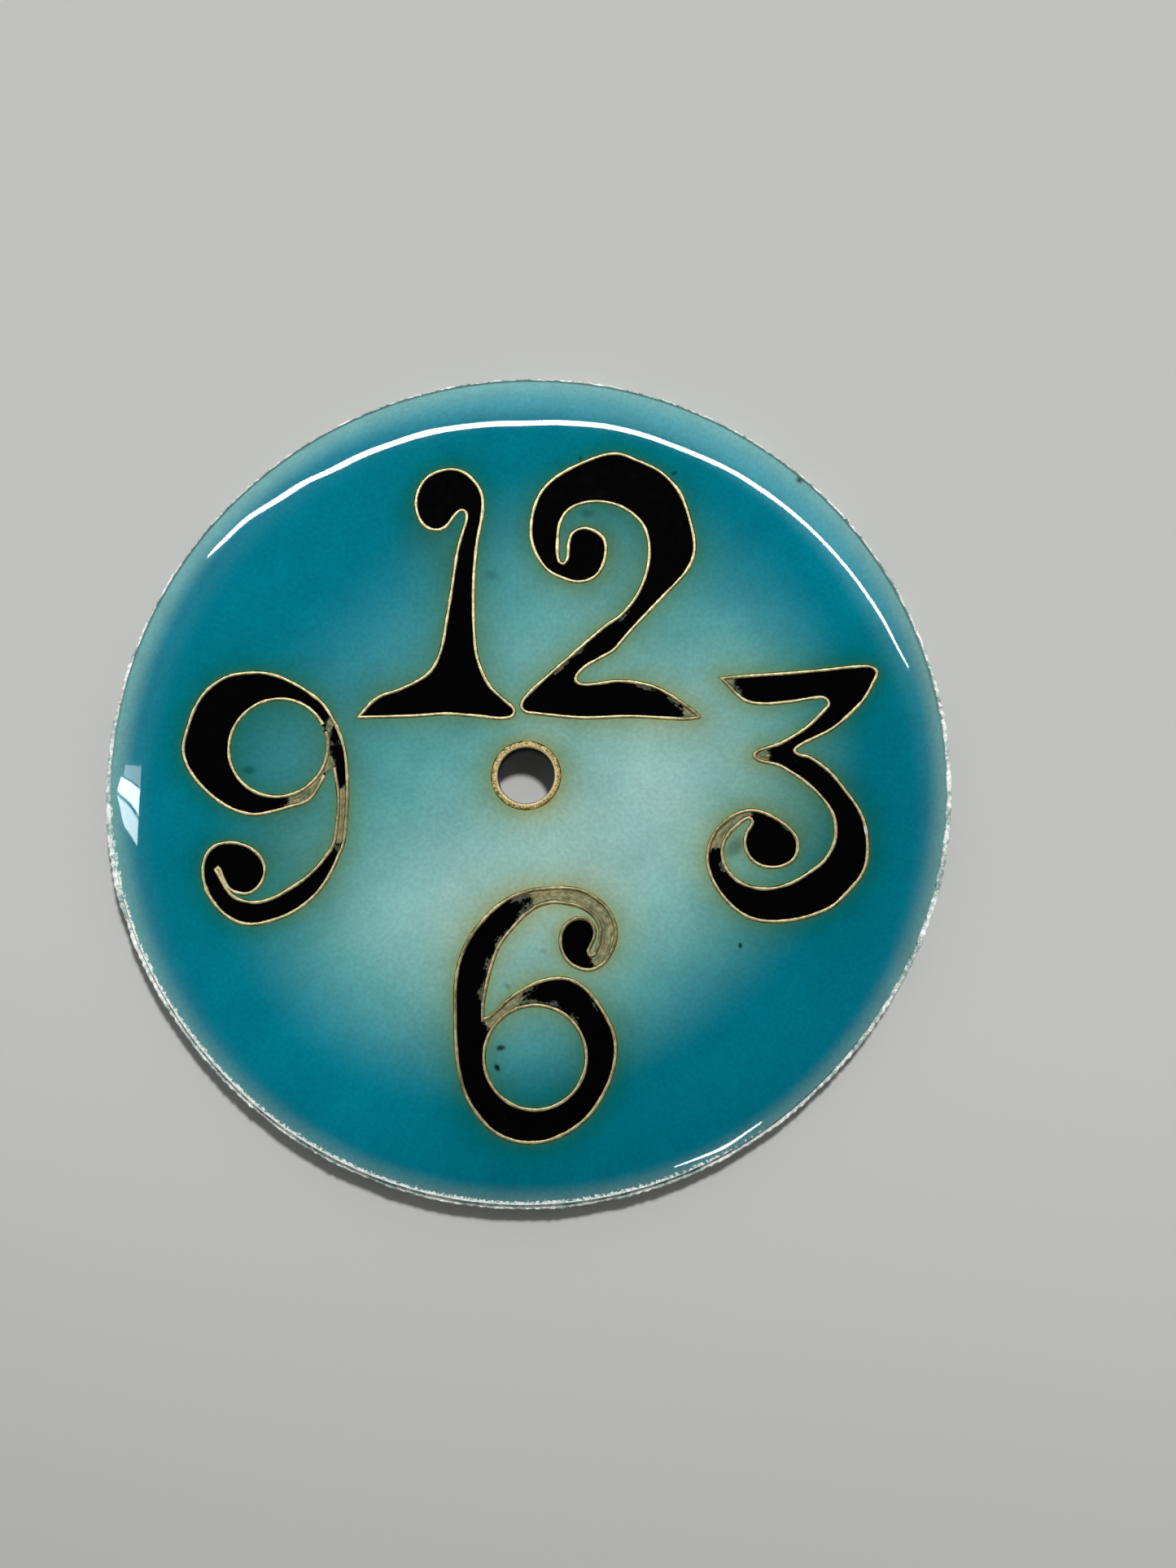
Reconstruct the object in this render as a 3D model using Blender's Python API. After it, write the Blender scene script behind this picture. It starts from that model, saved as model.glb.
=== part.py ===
"""Watch dial in cloisonne enamel, with the hour numerals 12, 3, 6 and 9 drawn in gold wire.

A fine silver disc carries enamel on both sides. On its face, gold wires stand on a thin undercoat
of enamel and fence in the cells: black enamel inside the numerals and blue-green enamel around
them. The hole for the hands has a gold ring of its own.

Frame: metres, +Z up out of the enamelled face, +Y towards the 12. The origin is on the axis of
the dial, on the plane that its back rests on. All outlines below are in millimetres.
"""
import math

import bpy
import numpy as np
from mathutils import Vector
from mathutils.geometry import delaunay_2d_cdt

MM = 0.001

# Driving dimensions, in millimetres
DISC_RADIUS = 16.0
HOLE_RADIUS = 1.05
RING_RADIUS = 1.31
LIP_WIDTH = 0.28
LIP_HEIGHT = 0.10
BACK_ENAMEL_RADIUS = 15.45
BACK_ENAMEL_THICKNESS = 0.22
SILVER_THICKNESS = 0.40
UNDERCOAT_THICKNESS = 0.10
CELL_HEIGHT = 0.40
RING_PROUD = 0.02
WIRE_WIDTH = 0.14
GAP = 0.01

# Heights of the layers, from the back to the face
BACK_TOP = BACK_ENAMEL_THICKNESS
SILVER_BOTTOM = BACK_TOP + GAP
SILVER_TOP = SILVER_BOTTOM + SILVER_THICKNESS
UNDERCOAT_BOTTOM = SILVER_TOP + GAP
UNDERCOAT_TOP = UNDERCOAT_BOTTOM + UNDERCOAT_THICKNESS
CELL_BOTTOM = UNDERCOAT_TOP + GAP
FACE = CELL_BOTTOM + CELL_HEIGHT

# The face bends down to the lip, ever more steeply
FIELD_RADIUS = DISC_RADIUS - LIP_WIDTH - GAP
MENISCUS_START = 13.0
MENISCUS_RINGS = (13.4, 14.3, 15.0, 15.4)
MENISCUS_DROP = 0.33
MENISCUS_POWER = 2.6

# Facets
RIM_SIDES = 88
HOLE_SIDES = 40
BOWL_SIDES = 40
STEP_ANGLE = math.radians(12)
STEP_LENGTH = 0.8
CURVE_SAMPLES = 24

# Centrelines of the wires: (x, y), or (x, y, 1) at a sharp bend
ONE = [
    (-6.35, 2.22, 1), (-4.2, 2.28), (-3.1, 2.35), (-2, 2.28), (-0.85, 2.18), (-0.52, 2.28),
    (-0.47, 2.5), (-0.95, 2.95), (-1.4, 3.4), (-1.7, 3.95), (-1.92, 4.6), (-2.03, 5.5), (-2.08, 7.5),
    (-1.98, 9), (-1.77, 10.4), (-1.82, 11), (-2.05, 11.45), (-2.5, 11.88), (-3, 12.02),
    (-3.6, 11.9), (-4, 11.63), (-4.28, 11.15), (-4.36, 10.65), (-4.28, 10.2), (-4.08, 9.83),
    (-3.8, 9.62), (-3.45, 9.58), (-3.17, 9.72), (-2.82, 10.2), (-2.6, 10.37), (-2.43, 10.3),
    (-2.38, 10.05), (-2.52, 9.5), (-2.7, 8.8), (-2.9, 7.3), (-3.1, 5.85), (-3.23, 5),
    (-3.4, 4.45), (-3.65, 4), (-4.05, 3.67), (-4.9, 3.25), (-5.45, 3.07), (-5.83, 2.82),
]
TWO = [
    (-0.17, 2.8), (0.1, 3.15), (1.45, 4.4), (3, 5.77), (3.5, 6.12), (3.95, 6.62), (4.3, 7.2),
    (4.55, 7.9), (4.65, 8.6), (4.6, 9.25), (4.42, 9.75), (4.05, 10.17), (3.55, 10.5), (3, 10.67),
    (2.45, 10.7), (1.9, 10.58), (1.45, 10.28), (1.2, 9.8), (1.12, 9.1), (1.13, 8.55), (1.2, 8.28),
    (1.35, 8.2), (1.5, 8.38), (1.55, 9), (1.68, 9.4), (1.93, 9.58), (2.22, 9.62), (2.6, 9.48),
    (2.9, 9.2), (2.98, 8.85), (2.92, 8.35), (2.7, 7.85), (2.33, 7.57), (1.85, 7.5), (1.4, 7.62),
    (0.8, 7.93), (0.37, 8.5), (0.14, 9.1), (0.1, 9.7), (0.22, 10.45), (0.48, 11.07), (0.95, 11.6),
    (1.55, 12), (2.35, 12.38), (3, 12.6), (3.5, 12.62), (4.2, 12.35), (5, 11.95), (5.45, 11.55),
    (5.83, 11.05), (6.07, 10.45), (6.27, 9.7), (6.38, 9), (6.32, 8.45), (6.05, 7.9), (5.2, 6.95),
    (4.45, 6.15), (3.9, 5.55), (3.5, 5.07), (3.3, 4.83), (2.2, 4.17), (1.88, 3.82), (1.85, 3.62),
    (2.05, 3.48), (2.65, 3.5), (3.35, 3.6), (4.1, 3.55), (4.8, 3.38), (5.35, 3.1), (5.9, 2.72),
    (6.35, 2.37), (6.5, 2.2, 1), (6, 2.15), (3.9, 2.25), (2.1, 2.2), (0.35, 2.37), (-0.03, 2.42),
    (-0.19, 2.58),
]
THREE = [
    (7.35, 3.7, 1), (8.4, 3.8), (9.9, 3.9), (11.3, 4.03), (12.45, 4.15), (12.98, 4.14),
    (13.2, 3.95), (13, 3.45), (12.65, 2.87), (12.1, 2.3), (11.45, 1.77), (10.7, 1.38), (10.2, 1.12),
    (10.03, 0.93), (10.2, 0.78), (10.55, 0.7), (10.9, 0.48), (11.4, 0.05), (11.9, -0.6),
    (12.3, -1.17), (12.55, -1.75), (12.65, -2.5), (12.6, -3.2), (12.4, -3.7), (12, -4.2),
    (11.3, -4.85), (10.7, -5.13), (10, -5.33), (9.2, -5.42), (8.4, -5.33), (7.9, -5.08),
    (7.47, -4.7), (7.1, -4.22), (6.83, -3.65), (6.73, -3.1), (6.85, -2.5), (7.15, -2),
    (7.57, -1.6), (7.98, -1.39), (8.4, -1.31), (8.82, -1.4), (9.3, -1.63), (9.73, -1.95),
    (10.02, -2.32), (10.08, -2.7), (9.95, -3.08), (9.57, -3.35), (9.07, -3.43), (8.63, -3.33),
    (8.28, -3.02), (8.13, -2.6), (8.2, -2.17), (8.43, -1.75), (8.3, -1.58), (8.1, -1.67),
    (7.48, -2.27), (7.3, -2.68), (7.3, -3.1), (7.45, -3.52), (7.82, -3.93), (8.4, -4.18),
    (9.05, -4.22), (9.73, -4.05), (10.4, -3.68), (11.05, -3.18), (11.43, -2.52), (11.5, -1.95),
    (11.4, -1.43), (11.03, -0.85), (10.48, -0.3), (9.9, 0.12), (9.4, 0.4), (8.7, 0.57),
    (8.52, 0.73), (8.68, 0.92), (9.45, 1.18), (9.9, 1.42), (10.55, 1.85), (11.05, 2.33),
    (11.37, 2.73), (11.2, 2.95), (10.8, 2.95), (9.85, 2.8), (8.85, 2.73), (8.2, 2.87),
]
SIX = [
    (-1.5, -9, 1), (-1.5, -8.5), (-1.37, -7.7), (-1.2, -7), (-0.95, -6.35), (-0.5, -5.72),
    (0, -5.2), (0.45, -4.88), (1, -4.73), (1.6, -4.78), (2.15, -4.95), (2.6, -5.3), (2.8, -5.8),
    (2.7, -6.3), (2.57, -6.62), (2.43, -6.7), (2.35, -6.53), (2.57, -5.95), (2.52, -5.6),
    (2.3, -5.37), (1.9, -5.33), (1.5, -5.58), (1.33, -6), (1.38, -6.5), (1.6, -6.88), (2, -7.13),
    (2.45, -7.18), (2.9, -6.95), (3.2, -6.5), (3.35, -6), (3.3, -5.5), (3.05, -5), (2.7, -4.65),
    (2.2, -4.35), (1.7, -4.22), (0.9, -4.22), (0.1, -4.33), (-0.6, -4.6), (-1.2, -5.05),
    (-1.7, -5.6), (-2.1, -6.2), (-2.37, -6.9), (-2.5, -7.7), (-2.5, -8.8), (-2.45, -9.9),
    (-2.33, -10.8), (-2.05, -11.7), (-1.6, -12.4), (-1, -12.97), (-0.35, -13.25), (0.35, -13.33),
    (1, -13.22), (1.75, -12.87), (2.4, -12.33), (2.87, -11.65), (3.2, -10.9), (3.33, -10.15),
    (3.27, -9.5), (3, -8.9), (2.65, -8.35), (2.2, -7.85), (1.7, -7.56), (1.2, -7.5), (0.55, -7.63),
    (-0.05, -7.92), (-0.55, -8.27), (-1.25, -8.9),
]
NINE = [
    (-7.55, 0), (-8.1, -0.9), (-8.9, -1.2), (-9.5, -1.37), (-10.1, -1.47), (-10.7, -1.37),
    (-11.3, -1.1), (-11.9, -0.65), (-12.45, -0.08), (-12.8, 0.5), (-12.93, 1.05), (-12.75, 2),
    (-12.55, 2.6), (-12.25, 3.12), (-11.8, 3.55), (-11.3, 3.82), (-10.65, 3.93), (-10, 3.93),
    (-9.4, 3.78), (-8.8, 3.5), (-8.2, 3.13), (-7.65, 2.65), (-6.85, 1), (-6.75, -2.4),
    (-6.95, -3.02), (-7.2, -3.62), (-7.5, -4.13), (-7.9, -4.6), (-8.4, -5), (-9, -5.3),
    (-9.9, -5.54), (-10.5, -5.5), (-11, -5.25), (-11.42, -4.87), (-11.75, -4.4), (-11.93, -3.9),
    (-11.97, -3.4), (-11.83, -2.92), (-11.5, -2.62), (-11, -2.53), (-10.5, -2.62), (-10.1, -2.83),
    (-9.8, -3.15), (-9.67, -3.55), (-9.77, -4), (-10.02, -4.3), (-10.37, -4.43), (-10.95, -4.25),
    (-11.4, -3.45, 1), (-11.5, -3.55, 1), (-10.85, -4.5), (-10.4, -4.7), (-9.9, -4.75),
    (-9.3, -4.58), (-8.8, -4.3), (-8.3, -3.97), (-7.8, -3.53), (-7.42, -3.05), (-7.15, -2.6),
    (-7, -0.95), (-7.2, 0.3),
]

# Round wires inside the bowls: centre, radius, and the gap's first and last angle in degrees
SIX_BOWL = ((0.42, -10.33), 1.86, None)
NINE_BOWL = ((-9.34, 1.06), 1.87, (19, 28))

# Where black enamel meets clear enamel inside one cell, there is no wire but a boundary.
# Each runs a little way into the wires on both of its sides.
BOUNDARIES = {
    "two_tip": [(5.75, 2.85), (5.9, 2.5), (5.85, 2.15)],
    "three_top_tip": [(7.9, 3.05), (7.8, 3.4), (7.9, 3.8)],
    "three_middle_tip": [(9.05, 0.5), (9.1, 0.85), (8.95, 1.03)],
    "three_curl_tip": [(6.75, -2.85), (7.0, -2.7), (7.35, -2.75)],
    "three_ball_side": [(8.3, -1.25), (8.38, -1.42), (8.35, -1.65)],
    "six_stem_tip": [(0.1, -4.3), (0.3, -4.65), (0.2, -5.0)],
    "six_ball_side": [(2.7, -7.1), (2.5, -6.95), (2.4, -6.6)],
    "six_bowl_tip": [(-0.1, -7.9), (0.0, -8.15), (-0.35, -8.7)],
    "six_notch": [(-1.5, -9.0), (-1.3, -9.25), (-1.1, -9.4)],
    "nine_top_tip": [(-7.35, 2.3), (-7.5, 2.1), (-7.6, 1.7)],
    "nine_bowl_break": [(-7.55, 1.6), (-7.62, 1.8), (-7.72, 2.0)],
    "nine_left_tip": [(-8.9, -1.25), (-8.85, -1.05), (-8.9, -0.7)],
    "nine_stem_side": [(-7.2, 2.0), (-7.38, 1.7), (-7.35, 0.8), (-7.2, 0.5), (-7.18, 0.2)],
    "nine_neck_mouth": [(-7.55, -0.05), (-7.4, 0.15), (-7.18, 0.25)],
    "nine_stem_foot": [(-6.7, -0.4), (-6.85, -0.45), (-7.05, -0.5)],
    "nine_tail_tip": [(-6.75, -2.5), (-6.9, -2.55), (-7.15, -2.55)],
}

# One point inside each enamel cell
CELLS = {
    "ground_enamel": (0.0, -2.5),
    "one_enamel": (-2.5, 6.5),
    "two_enamel": (4.9, 8.6),
    "two_tip_flux": (6.15, 2.33),
    "three_enamel": (12.0, -2.2),
    "three_top_tip_flux": (7.6, 3.55),
    "three_middle_tip_flux": (8.75, 0.75),
    "three_curl_flux": (7.2, -2.35),
    "three_ball_enamel": (9.2, -2.4),
    "six_enamel": (-2.0, -8.5),
    "six_ball_enamel": (1.9, -6.3),
    "six_top_flux": (2.4, -4.75),
    "six_bowl_flux": (-0.8, -8.7),
    "six_bowl_ground": (0.42, -10.33),
    "nine_enamel": (-12.0, 1.5),
    "nine_top_flux": (-7.45, 1.85),
    "nine_neck_flux": (-8.2, -0.67),
    "nine_stem_enamel": (-7.0, 0.7),
    "nine_stem_flux": (-6.88, -1.5),
    "nine_tail_enamel": (-8.6, -4.7),
    "nine_bowl_ground": (-9.34, 1.06),
}

GOLD = ((0.83, 0.66, 0.33), 0.22, 1.0)
SILVER = ((0.80, 0.79, 0.76), 0.28, 1.0)
GROUND = ((0.10, 0.42, 0.44), 0.10, 0.0)
FLUX = ((0.25, 0.45, 0.38), 0.10, 0.0)
BLACK = ((0.006, 0.006, 0.008), 0.08, 0.0)
UNDERCOAT = ((0.62, 0.72, 0.68), 0.20, 0.0)
BACK = ((0.16, 0.30, 0.33), 0.22, 0.0)


def clear_scene():
    for thing in list(bpy.data.objects):
        bpy.data.objects.remove(thing, do_unlink=True)


def material(name, finish):
    colour, roughness, metallic = finish
    made = bpy.data.materials.new(name)
    made.use_nodes = True
    shader = made.node_tree.nodes["Principled BSDF"]
    shader.inputs["Base Color"].default_value = (*colour, 1.0)
    shader.inputs["Roughness"].default_value = roughness
    shader.inputs["Metallic"].default_value = metallic
    return made


def add_object(name, points, faces, finish, smooth=False):
    """An object from points in millimetres."""
    mesh = bpy.data.meshes.new(name)
    mesh.from_pydata([Vector(p) * MM for p in points], [], faces)
    mesh.update()
    if smooth:
        mesh.shade_smooth()
        mesh.set_sharp_from_angle(angle=math.radians(35))
    made = bpy.data.objects.new(name, mesh)
    made.data.materials.append(material(name + "_finish", finish))
    bpy.context.scene.collection.objects.link(made)
    return made


def turned(name, profile, sides, finish):
    """A ring turned about Z from a closed (radius, height) profile listed anticlockwise."""
    count = len(profile)
    points = []
    for k in range(sides):
        angle = 2 * math.pi * k / sides
        points += [(r * math.cos(angle), r * math.sin(angle), z) for r, z in profile]
    faces = []
    for k in range(sides):
        here, there = k * count, (k + 1) % sides * count
        for i in range(count):
            j = (i + 1) % count
            faces.append((here + i, there + i, there + j, here + j))
    return add_object(name, points, faces, finish, smooth=True)


# ---- Plane curves ----------------------------------------------------------------------------

def smooth_curve(points, closed):
    """Dense centripetal Catmull-Rom curve through points; a third value of 1 marks a corner."""
    place = np.array([p[:2] for p in points], float)
    corner = [len(p) == 3 for p in points]
    count = len(points)
    if not closed:
        corner[0] = corner[-1] = True

    def tangent(i):
        before, here, after = place[i - 1], place[i], place[(i + 1) % count]
        d1 = np.linalg.norm(here - before) ** 0.5
        d2 = np.linalg.norm(after - here) ** 0.5
        return (here - before) / d1 - (after - before) / (d1 + d2) + (after - here) / d2

    t = (np.arange(CURVE_SAMPLES) / CURVE_SAMPLES)[:, None]
    pieces = []
    for i in range(count if closed else count - 1):
        j = (i + 1) % count
        start, end = place[i], place[j]
        width = np.linalg.norm(end - start) ** 0.5
        leave = end - start if corner[i] else tangent(i) * width
        arrive = end - start if corner[j] else tangent(j) * width
        pieces.append(
            (2 * t**3 - 3 * t**2 + 1) * start
            + (t**3 - 2 * t**2 + t) * leave
            + (3 * t**2 - 2 * t**3) * end
            + (t**3 - t**2) * arrive
        )
    dense = np.concatenate(pieces)
    if not closed:
        dense = np.vstack([dense, place[-1:]])
    fixed = {i * CURVE_SAMPLES for i in range(count) if corner[i]}
    return dense, fixed


def thinned(dense, fixed, closed):
    """Keep a point wherever the curve has turned by STEP_ANGLE or run for STEP_LENGTH."""
    kept, turn, run = [0], 0.0, 0.0
    for i in range(1, len(dense)):
        step = dense[i] - dense[i - 1]
        run += np.linalg.norm(step)
        if i > 1:
            last = dense[i - 1] - dense[i - 2]
            turn += abs(math.atan2(last[0] * step[1] - last[1] * step[0], last @ step))
        if i in fixed or turn > STEP_ANGLE or run > STEP_LENGTH:
            kept.append(i)
            turn, run = 0.0, 0.0
    if not closed and kept[-1] != len(dense) - 1:
        kept.append(len(dense) - 1)
    if closed and np.linalg.norm(dense[kept[-1]] - dense[0]) < WIRE_WIDTH:
        kept.pop()
    return dense[kept]


def path(points, closed=True):
    return thinned(*smooth_curve(points, closed), closed), closed


def circle(centre, radius, sides, span=None):
    """A circle as a path, anticlockwise; span leaves out the stretch between two angles."""
    if span is None:
        angles = 2 * math.pi * np.arange(sides) / sides
    else:
        angles = np.radians(np.linspace(span[1], span[0] + 360, sides))
    ring = np.stack([np.cos(angles), np.sin(angles)], axis=1) * radius + np.array(centre)
    return ring, span is None


def sideways(track, closed, distance):
    """The track moved to its left by a distance, with mitred bends."""
    ahead = np.roll(track, -1, axis=0) - track
    if not closed:
        ahead[-1] = track[-1] - track[-2]
    ahead /= np.linalg.norm(ahead, axis=1)[:, None]
    behind = np.roll(ahead, 1, axis=0)
    if not closed:
        behind[0] = ahead[0]
    left = np.stack([-(ahead + behind)[:, 1], (ahead + behind)[:, 0]], axis=1)
    left /= np.maximum(np.linalg.norm(left, axis=1)[:, None], 1e-9)
    flat = np.stack([-ahead[:, 1], ahead[:, 0]], axis=1)
    stretch = 1 / np.maximum((left * flat).sum(axis=1), 0.45)
    return track + left * (distance * stretch)[:, None]


def band(track, closed, half):
    """The outline of a ribbon: two loops around a closed track, one around an open one."""
    left, right = sideways(track, closed, half), sideways(track, closed, -half)
    if closed:
        return [left, right]
    ends = [track[0] - track[1], track[-1] - track[-2]]
    first, last = (end / np.linalg.norm(end) * half for end in ends)
    left[0] += first
    right[0] += first
    left[-1] += last
    right[-1] += last
    return [np.vstack([left, right[::-1]])]


def distance_to(track, closed, places):
    """How far each place is from a track."""
    start = track if closed else track[:-1]
    end = np.roll(track, -1, axis=0) if closed else track[1:]
    along = end - start
    share = ((places[:, None] - start) * along).sum(axis=2) / (along**2).sum(axis=1)
    nearest = start + share.clip(0, 1)[:, :, None] * along
    return np.linalg.norm(places[:, None] - nearest, axis=2).min(axis=1)


# ---- The inlay: wires and enamel cells share one flat triangulation ------------------------------

def wire_tracks():
    return {
        "one_wire": path(ONE),
        "two_wire": path(TWO),
        "three_wire": path(THREE),
        "six_wire": path(SIX),
        "nine_wire": path(NINE, closed=False),
        "six_bowl_wire": circle(SIX_BOWL[0], SIX_BOWL[1], BOWL_SIDES),
        "nine_bowl_wire": circle(NINE_BOWL[0], NINE_BOWL[1], BOWL_SIDES, NINE_BOWL[2]),
    }


def arrangement(wires, boundaries):
    """Triangulate the face so that every wire's edge and every boundary is a line of the mesh."""
    loops = [circle((0, 0), FIELD_RADIUS, RIM_SIDES)[0]]
    loops += [circle((0, 0), radius, RIM_SIDES)[0] for radius in MENISCUS_RINGS]
    loops.append(circle((0, 0), RING_RADIUS + GAP, HOLE_SIDES)[0])
    for track, closed in wires.values():
        loops += band(track, closed, WIRE_WIDTH / 2)
        loops += band(track, closed, WIRE_WIDTH / 2 + GAP)
    for track, closed in boundaries.values():
        loops += band(track, closed, GAP / 2)
    points, edges = [], []
    for loop in loops:
        first = len(points)
        points += [Vector(p) for p in loop]
        edges += [(first + i, first + (i + 1) % len(loop)) for i in range(len(loop))]
    found = delaunay_2d_cdt(points, edges, [], 0, 1e-5, False)
    return np.array([tuple(p) for p in found[0]]), np.array([f[:3] for f in found[2]])


def components(triangles):
    """Groups of triangles joined edge to edge."""
    owner = list(range(len(triangles)))

    def root(i):
        while owner[i] != i:
            owner[i] = owner[owner[i]]
            i = owner[i]
        return i

    seen = {}
    for i, corners in enumerate(triangles):
        for k in range(3):
            edge = tuple(sorted((corners[k], corners[(k + 1) % 3])))
            if edge in seen:
                owner[root(i)] = root(seen[edge])
            else:
                seen[edge] = i
    groups = {}
    for i in range(len(triangles)):
        groups.setdefault(root(i), []).append(i)
    return [triangles[group] for group in groups.values()]


def area(places, triangles):
    a, b, c = (places[triangles[:, k]] for k in range(3))
    return np.cross(b - a, c - a).sum() / 2


def holds(places, triangles, point):
    """Whether a point lies in one of the triangles."""
    a, b, c = (places[triangles[:, k]] for k in range(3))
    inside = np.ones(len(triangles), bool)
    for p, q in ((a, b), (b, c), (c, a)):
        inside &= np.cross(q - p, np.array(point) - p) >= 0
    return inside.any()


def face_height(radius):
    """The height of the face: flat, then bending down towards the lip."""
    share = (radius - MENISCUS_START) / (FIELD_RADIUS - MENISCUS_START)
    return FACE - MENISCUS_DROP * max(0.0, share) ** MENISCUS_POWER


def prism(name, places, triangles, finish):
    """A solid that stands on the undercoat over a set of triangles."""
    used = sorted(set(triangles.ravel().tolist()))
    number = {corner: i for i, corner in enumerate(used)}
    count = len(used)
    points = [(*places[corner], CELL_BOTTOM) for corner in used]
    points += [(*places[corner], face_height(math.hypot(*places[corner]))) for corner in used]
    faces, border = [], {}
    for corners in triangles:
        a, b, c = (number[corner] for corner in corners)
        faces.append((c, b, a))
        faces.append((a + count, b + count, c + count))
        for p, q in ((a, b), (b, c), (c, a)):
            border[p, q] = True
    for p, q in border:
        if (q, p) not in border:
            faces.append((p, q, q + count, p + count))
    return add_object(name, points, faces, finish)


def finish_of(name):
    if "ground" in name:
        return GROUND
    return FLUX if name.endswith("flux") else BLACK


def inlay():
    wires = wire_tracks()
    boundaries = {name: path(points, closed=False) for name, points in BOUNDARIES.items()}
    places, triangles = arrangement(wires, boundaries)
    centre = places[triangles].mean(axis=1)
    radius = np.linalg.norm(centre, axis=1)
    free = (radius < FIELD_RADIUS) & (radius > RING_RADIUS + GAP)
    for name, (track, closed) in wires.items():
        far = distance_to(track, closed, centre)
        groups = components(triangles[free & (far < WIRE_WIDTH / 2)])
        largest = max(groups, key=lambda group: area(places, group))
        prism(name, places, largest, GOLD)
        free &= far > WIRE_WIDTH / 2 + GAP
    for track, closed in boundaries.values():
        free &= distance_to(track, closed, centre) > GAP / 2
    groups = components(triangles[free])
    for name, seed in CELLS.items():
        found = [group for group in groups if holds(places, group, seed)]
        prism(name, places, found[0], finish_of(name))


# ---- Turned pieces -------------------------------------------------------------------------------

def back_enamel():
    chamfer = BACK_ENAMEL_THICKNESS / 2
    turned("back_enamel", [
        (HOLE_RADIUS + 0.25, 0), (BACK_ENAMEL_RADIUS - chamfer, 0),
        (BACK_ENAMEL_RADIUS, chamfer), (BACK_ENAMEL_RADIUS, BACK_TOP),
        (HOLE_RADIUS + 0.15, BACK_TOP), (HOLE_RADIUS + 0.15, chamfer),
    ], RIM_SIDES, BACK)


def silver_disc():
    inner = HOLE_RADIUS + GAP
    bevel = 0.05
    turned("silver_disc", [
        (inner, SILVER_BOTTOM), (DISC_RADIUS - bevel, SILVER_BOTTOM),
        (DISC_RADIUS, SILVER_BOTTOM + bevel), (DISC_RADIUS, SILVER_TOP + LIP_HEIGHT - bevel),
        (DISC_RADIUS - bevel, SILVER_TOP + LIP_HEIGHT),
        (DISC_RADIUS - LIP_WIDTH + bevel, SILVER_TOP + LIP_HEIGHT),
        (DISC_RADIUS - LIP_WIDTH, SILVER_TOP), (inner, SILVER_TOP),
    ], RIM_SIDES, SILVER)


def undercoat():
    turned("undercoat_enamel", [
        (RING_RADIUS + GAP, UNDERCOAT_BOTTOM), (FIELD_RADIUS, UNDERCOAT_BOTTOM),
        (FIELD_RADIUS, UNDERCOAT_TOP), (RING_RADIUS + GAP, UNDERCOAT_TOP),
    ], RIM_SIDES, UNDERCOAT)


def centre_ring():
    """The gold ring that stands around the hole, with a rounded inner edge."""
    top, edge = FACE + RING_PROUD, 0.07
    turned("centre_ring", [
        (HOLE_RADIUS, SILVER_TOP + GAP), (RING_RADIUS, SILVER_TOP + GAP),
        (RING_RADIUS, top - edge / 2), (RING_RADIUS - edge / 2, top),
        (HOLE_RADIUS + edge, top), (HOLE_RADIUS + 0.3 * edge, top - 0.3 * edge),
        (HOLE_RADIUS, top - edge),
    ], HOLE_SIDES, GOLD)


clear_scene()
back_enamel()
silver_disc()
undercoat()
centre_ring()
inlay()
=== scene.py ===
"""Looks of the cloisonne watch dial: fired enamel, drawn gold wire and the filed silver rim.

Lengths in this file are in millimetres unless a name says otherwise, and become metres in MM.
"""
import math

import bpy
import numpy as np
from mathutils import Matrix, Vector
from mathutils.geometry import delaunay_2d_cdt
from mathutils.kdtree import KDTree


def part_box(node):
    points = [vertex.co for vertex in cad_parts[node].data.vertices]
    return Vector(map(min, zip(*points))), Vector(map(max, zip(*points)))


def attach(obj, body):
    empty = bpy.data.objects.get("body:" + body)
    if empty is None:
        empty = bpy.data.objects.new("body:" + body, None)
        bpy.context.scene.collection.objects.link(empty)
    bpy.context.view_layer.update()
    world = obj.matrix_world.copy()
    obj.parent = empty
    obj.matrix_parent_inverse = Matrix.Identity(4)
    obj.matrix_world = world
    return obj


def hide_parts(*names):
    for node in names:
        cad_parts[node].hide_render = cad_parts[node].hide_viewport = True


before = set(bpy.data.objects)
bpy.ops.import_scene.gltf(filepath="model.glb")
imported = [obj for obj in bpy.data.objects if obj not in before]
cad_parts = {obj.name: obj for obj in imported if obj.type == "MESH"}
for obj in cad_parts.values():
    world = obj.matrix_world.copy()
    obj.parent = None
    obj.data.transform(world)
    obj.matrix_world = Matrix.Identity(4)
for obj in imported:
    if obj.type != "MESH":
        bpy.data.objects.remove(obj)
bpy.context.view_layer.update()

MM = 0.001


def top_of(node):
    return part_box(node)[1].z / MM


def bottom_of(node):
    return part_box(node)[0].z / MM


def reach_of(node):
    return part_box(node)[1].x / MM


# Sizes that the frame gives
DISC_RADIUS = reach_of("silver_disc")
FIELD_RADIUS = reach_of("ground_enamel")
RING_RADIUS = reach_of("centre_ring")
BACK_RADIUS = reach_of("back_enamel")
BACK_THICKNESS = top_of("back_enamel")
FACE = top_of("one_wire")
CELL_BOTTOM = bottom_of("one_wire")
RING_TOP = top_of("centre_ring")
SILVER_BOTTOM = bottom_of("silver_disc")
LIP_TOP = top_of("silver_disc")

# Sizes repeated from the CAD source
HOLE_RADIUS = 1.05
LIP_HEIGHT = 0.10
WIRE_WIDTH = 0.14
MENISCUS_START = 13.0
MENISCUS_DROP = 0.33
MENISCUS_POWER = 2.6

# How far the edges leave their true circles: the enamel's near the 12, the silver's near the 6,
# and the enamel's near the 6
TOP_SPREAD = 0.13
LOW_TRIM = 0.23
LOW_BARE = 0.18

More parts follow.
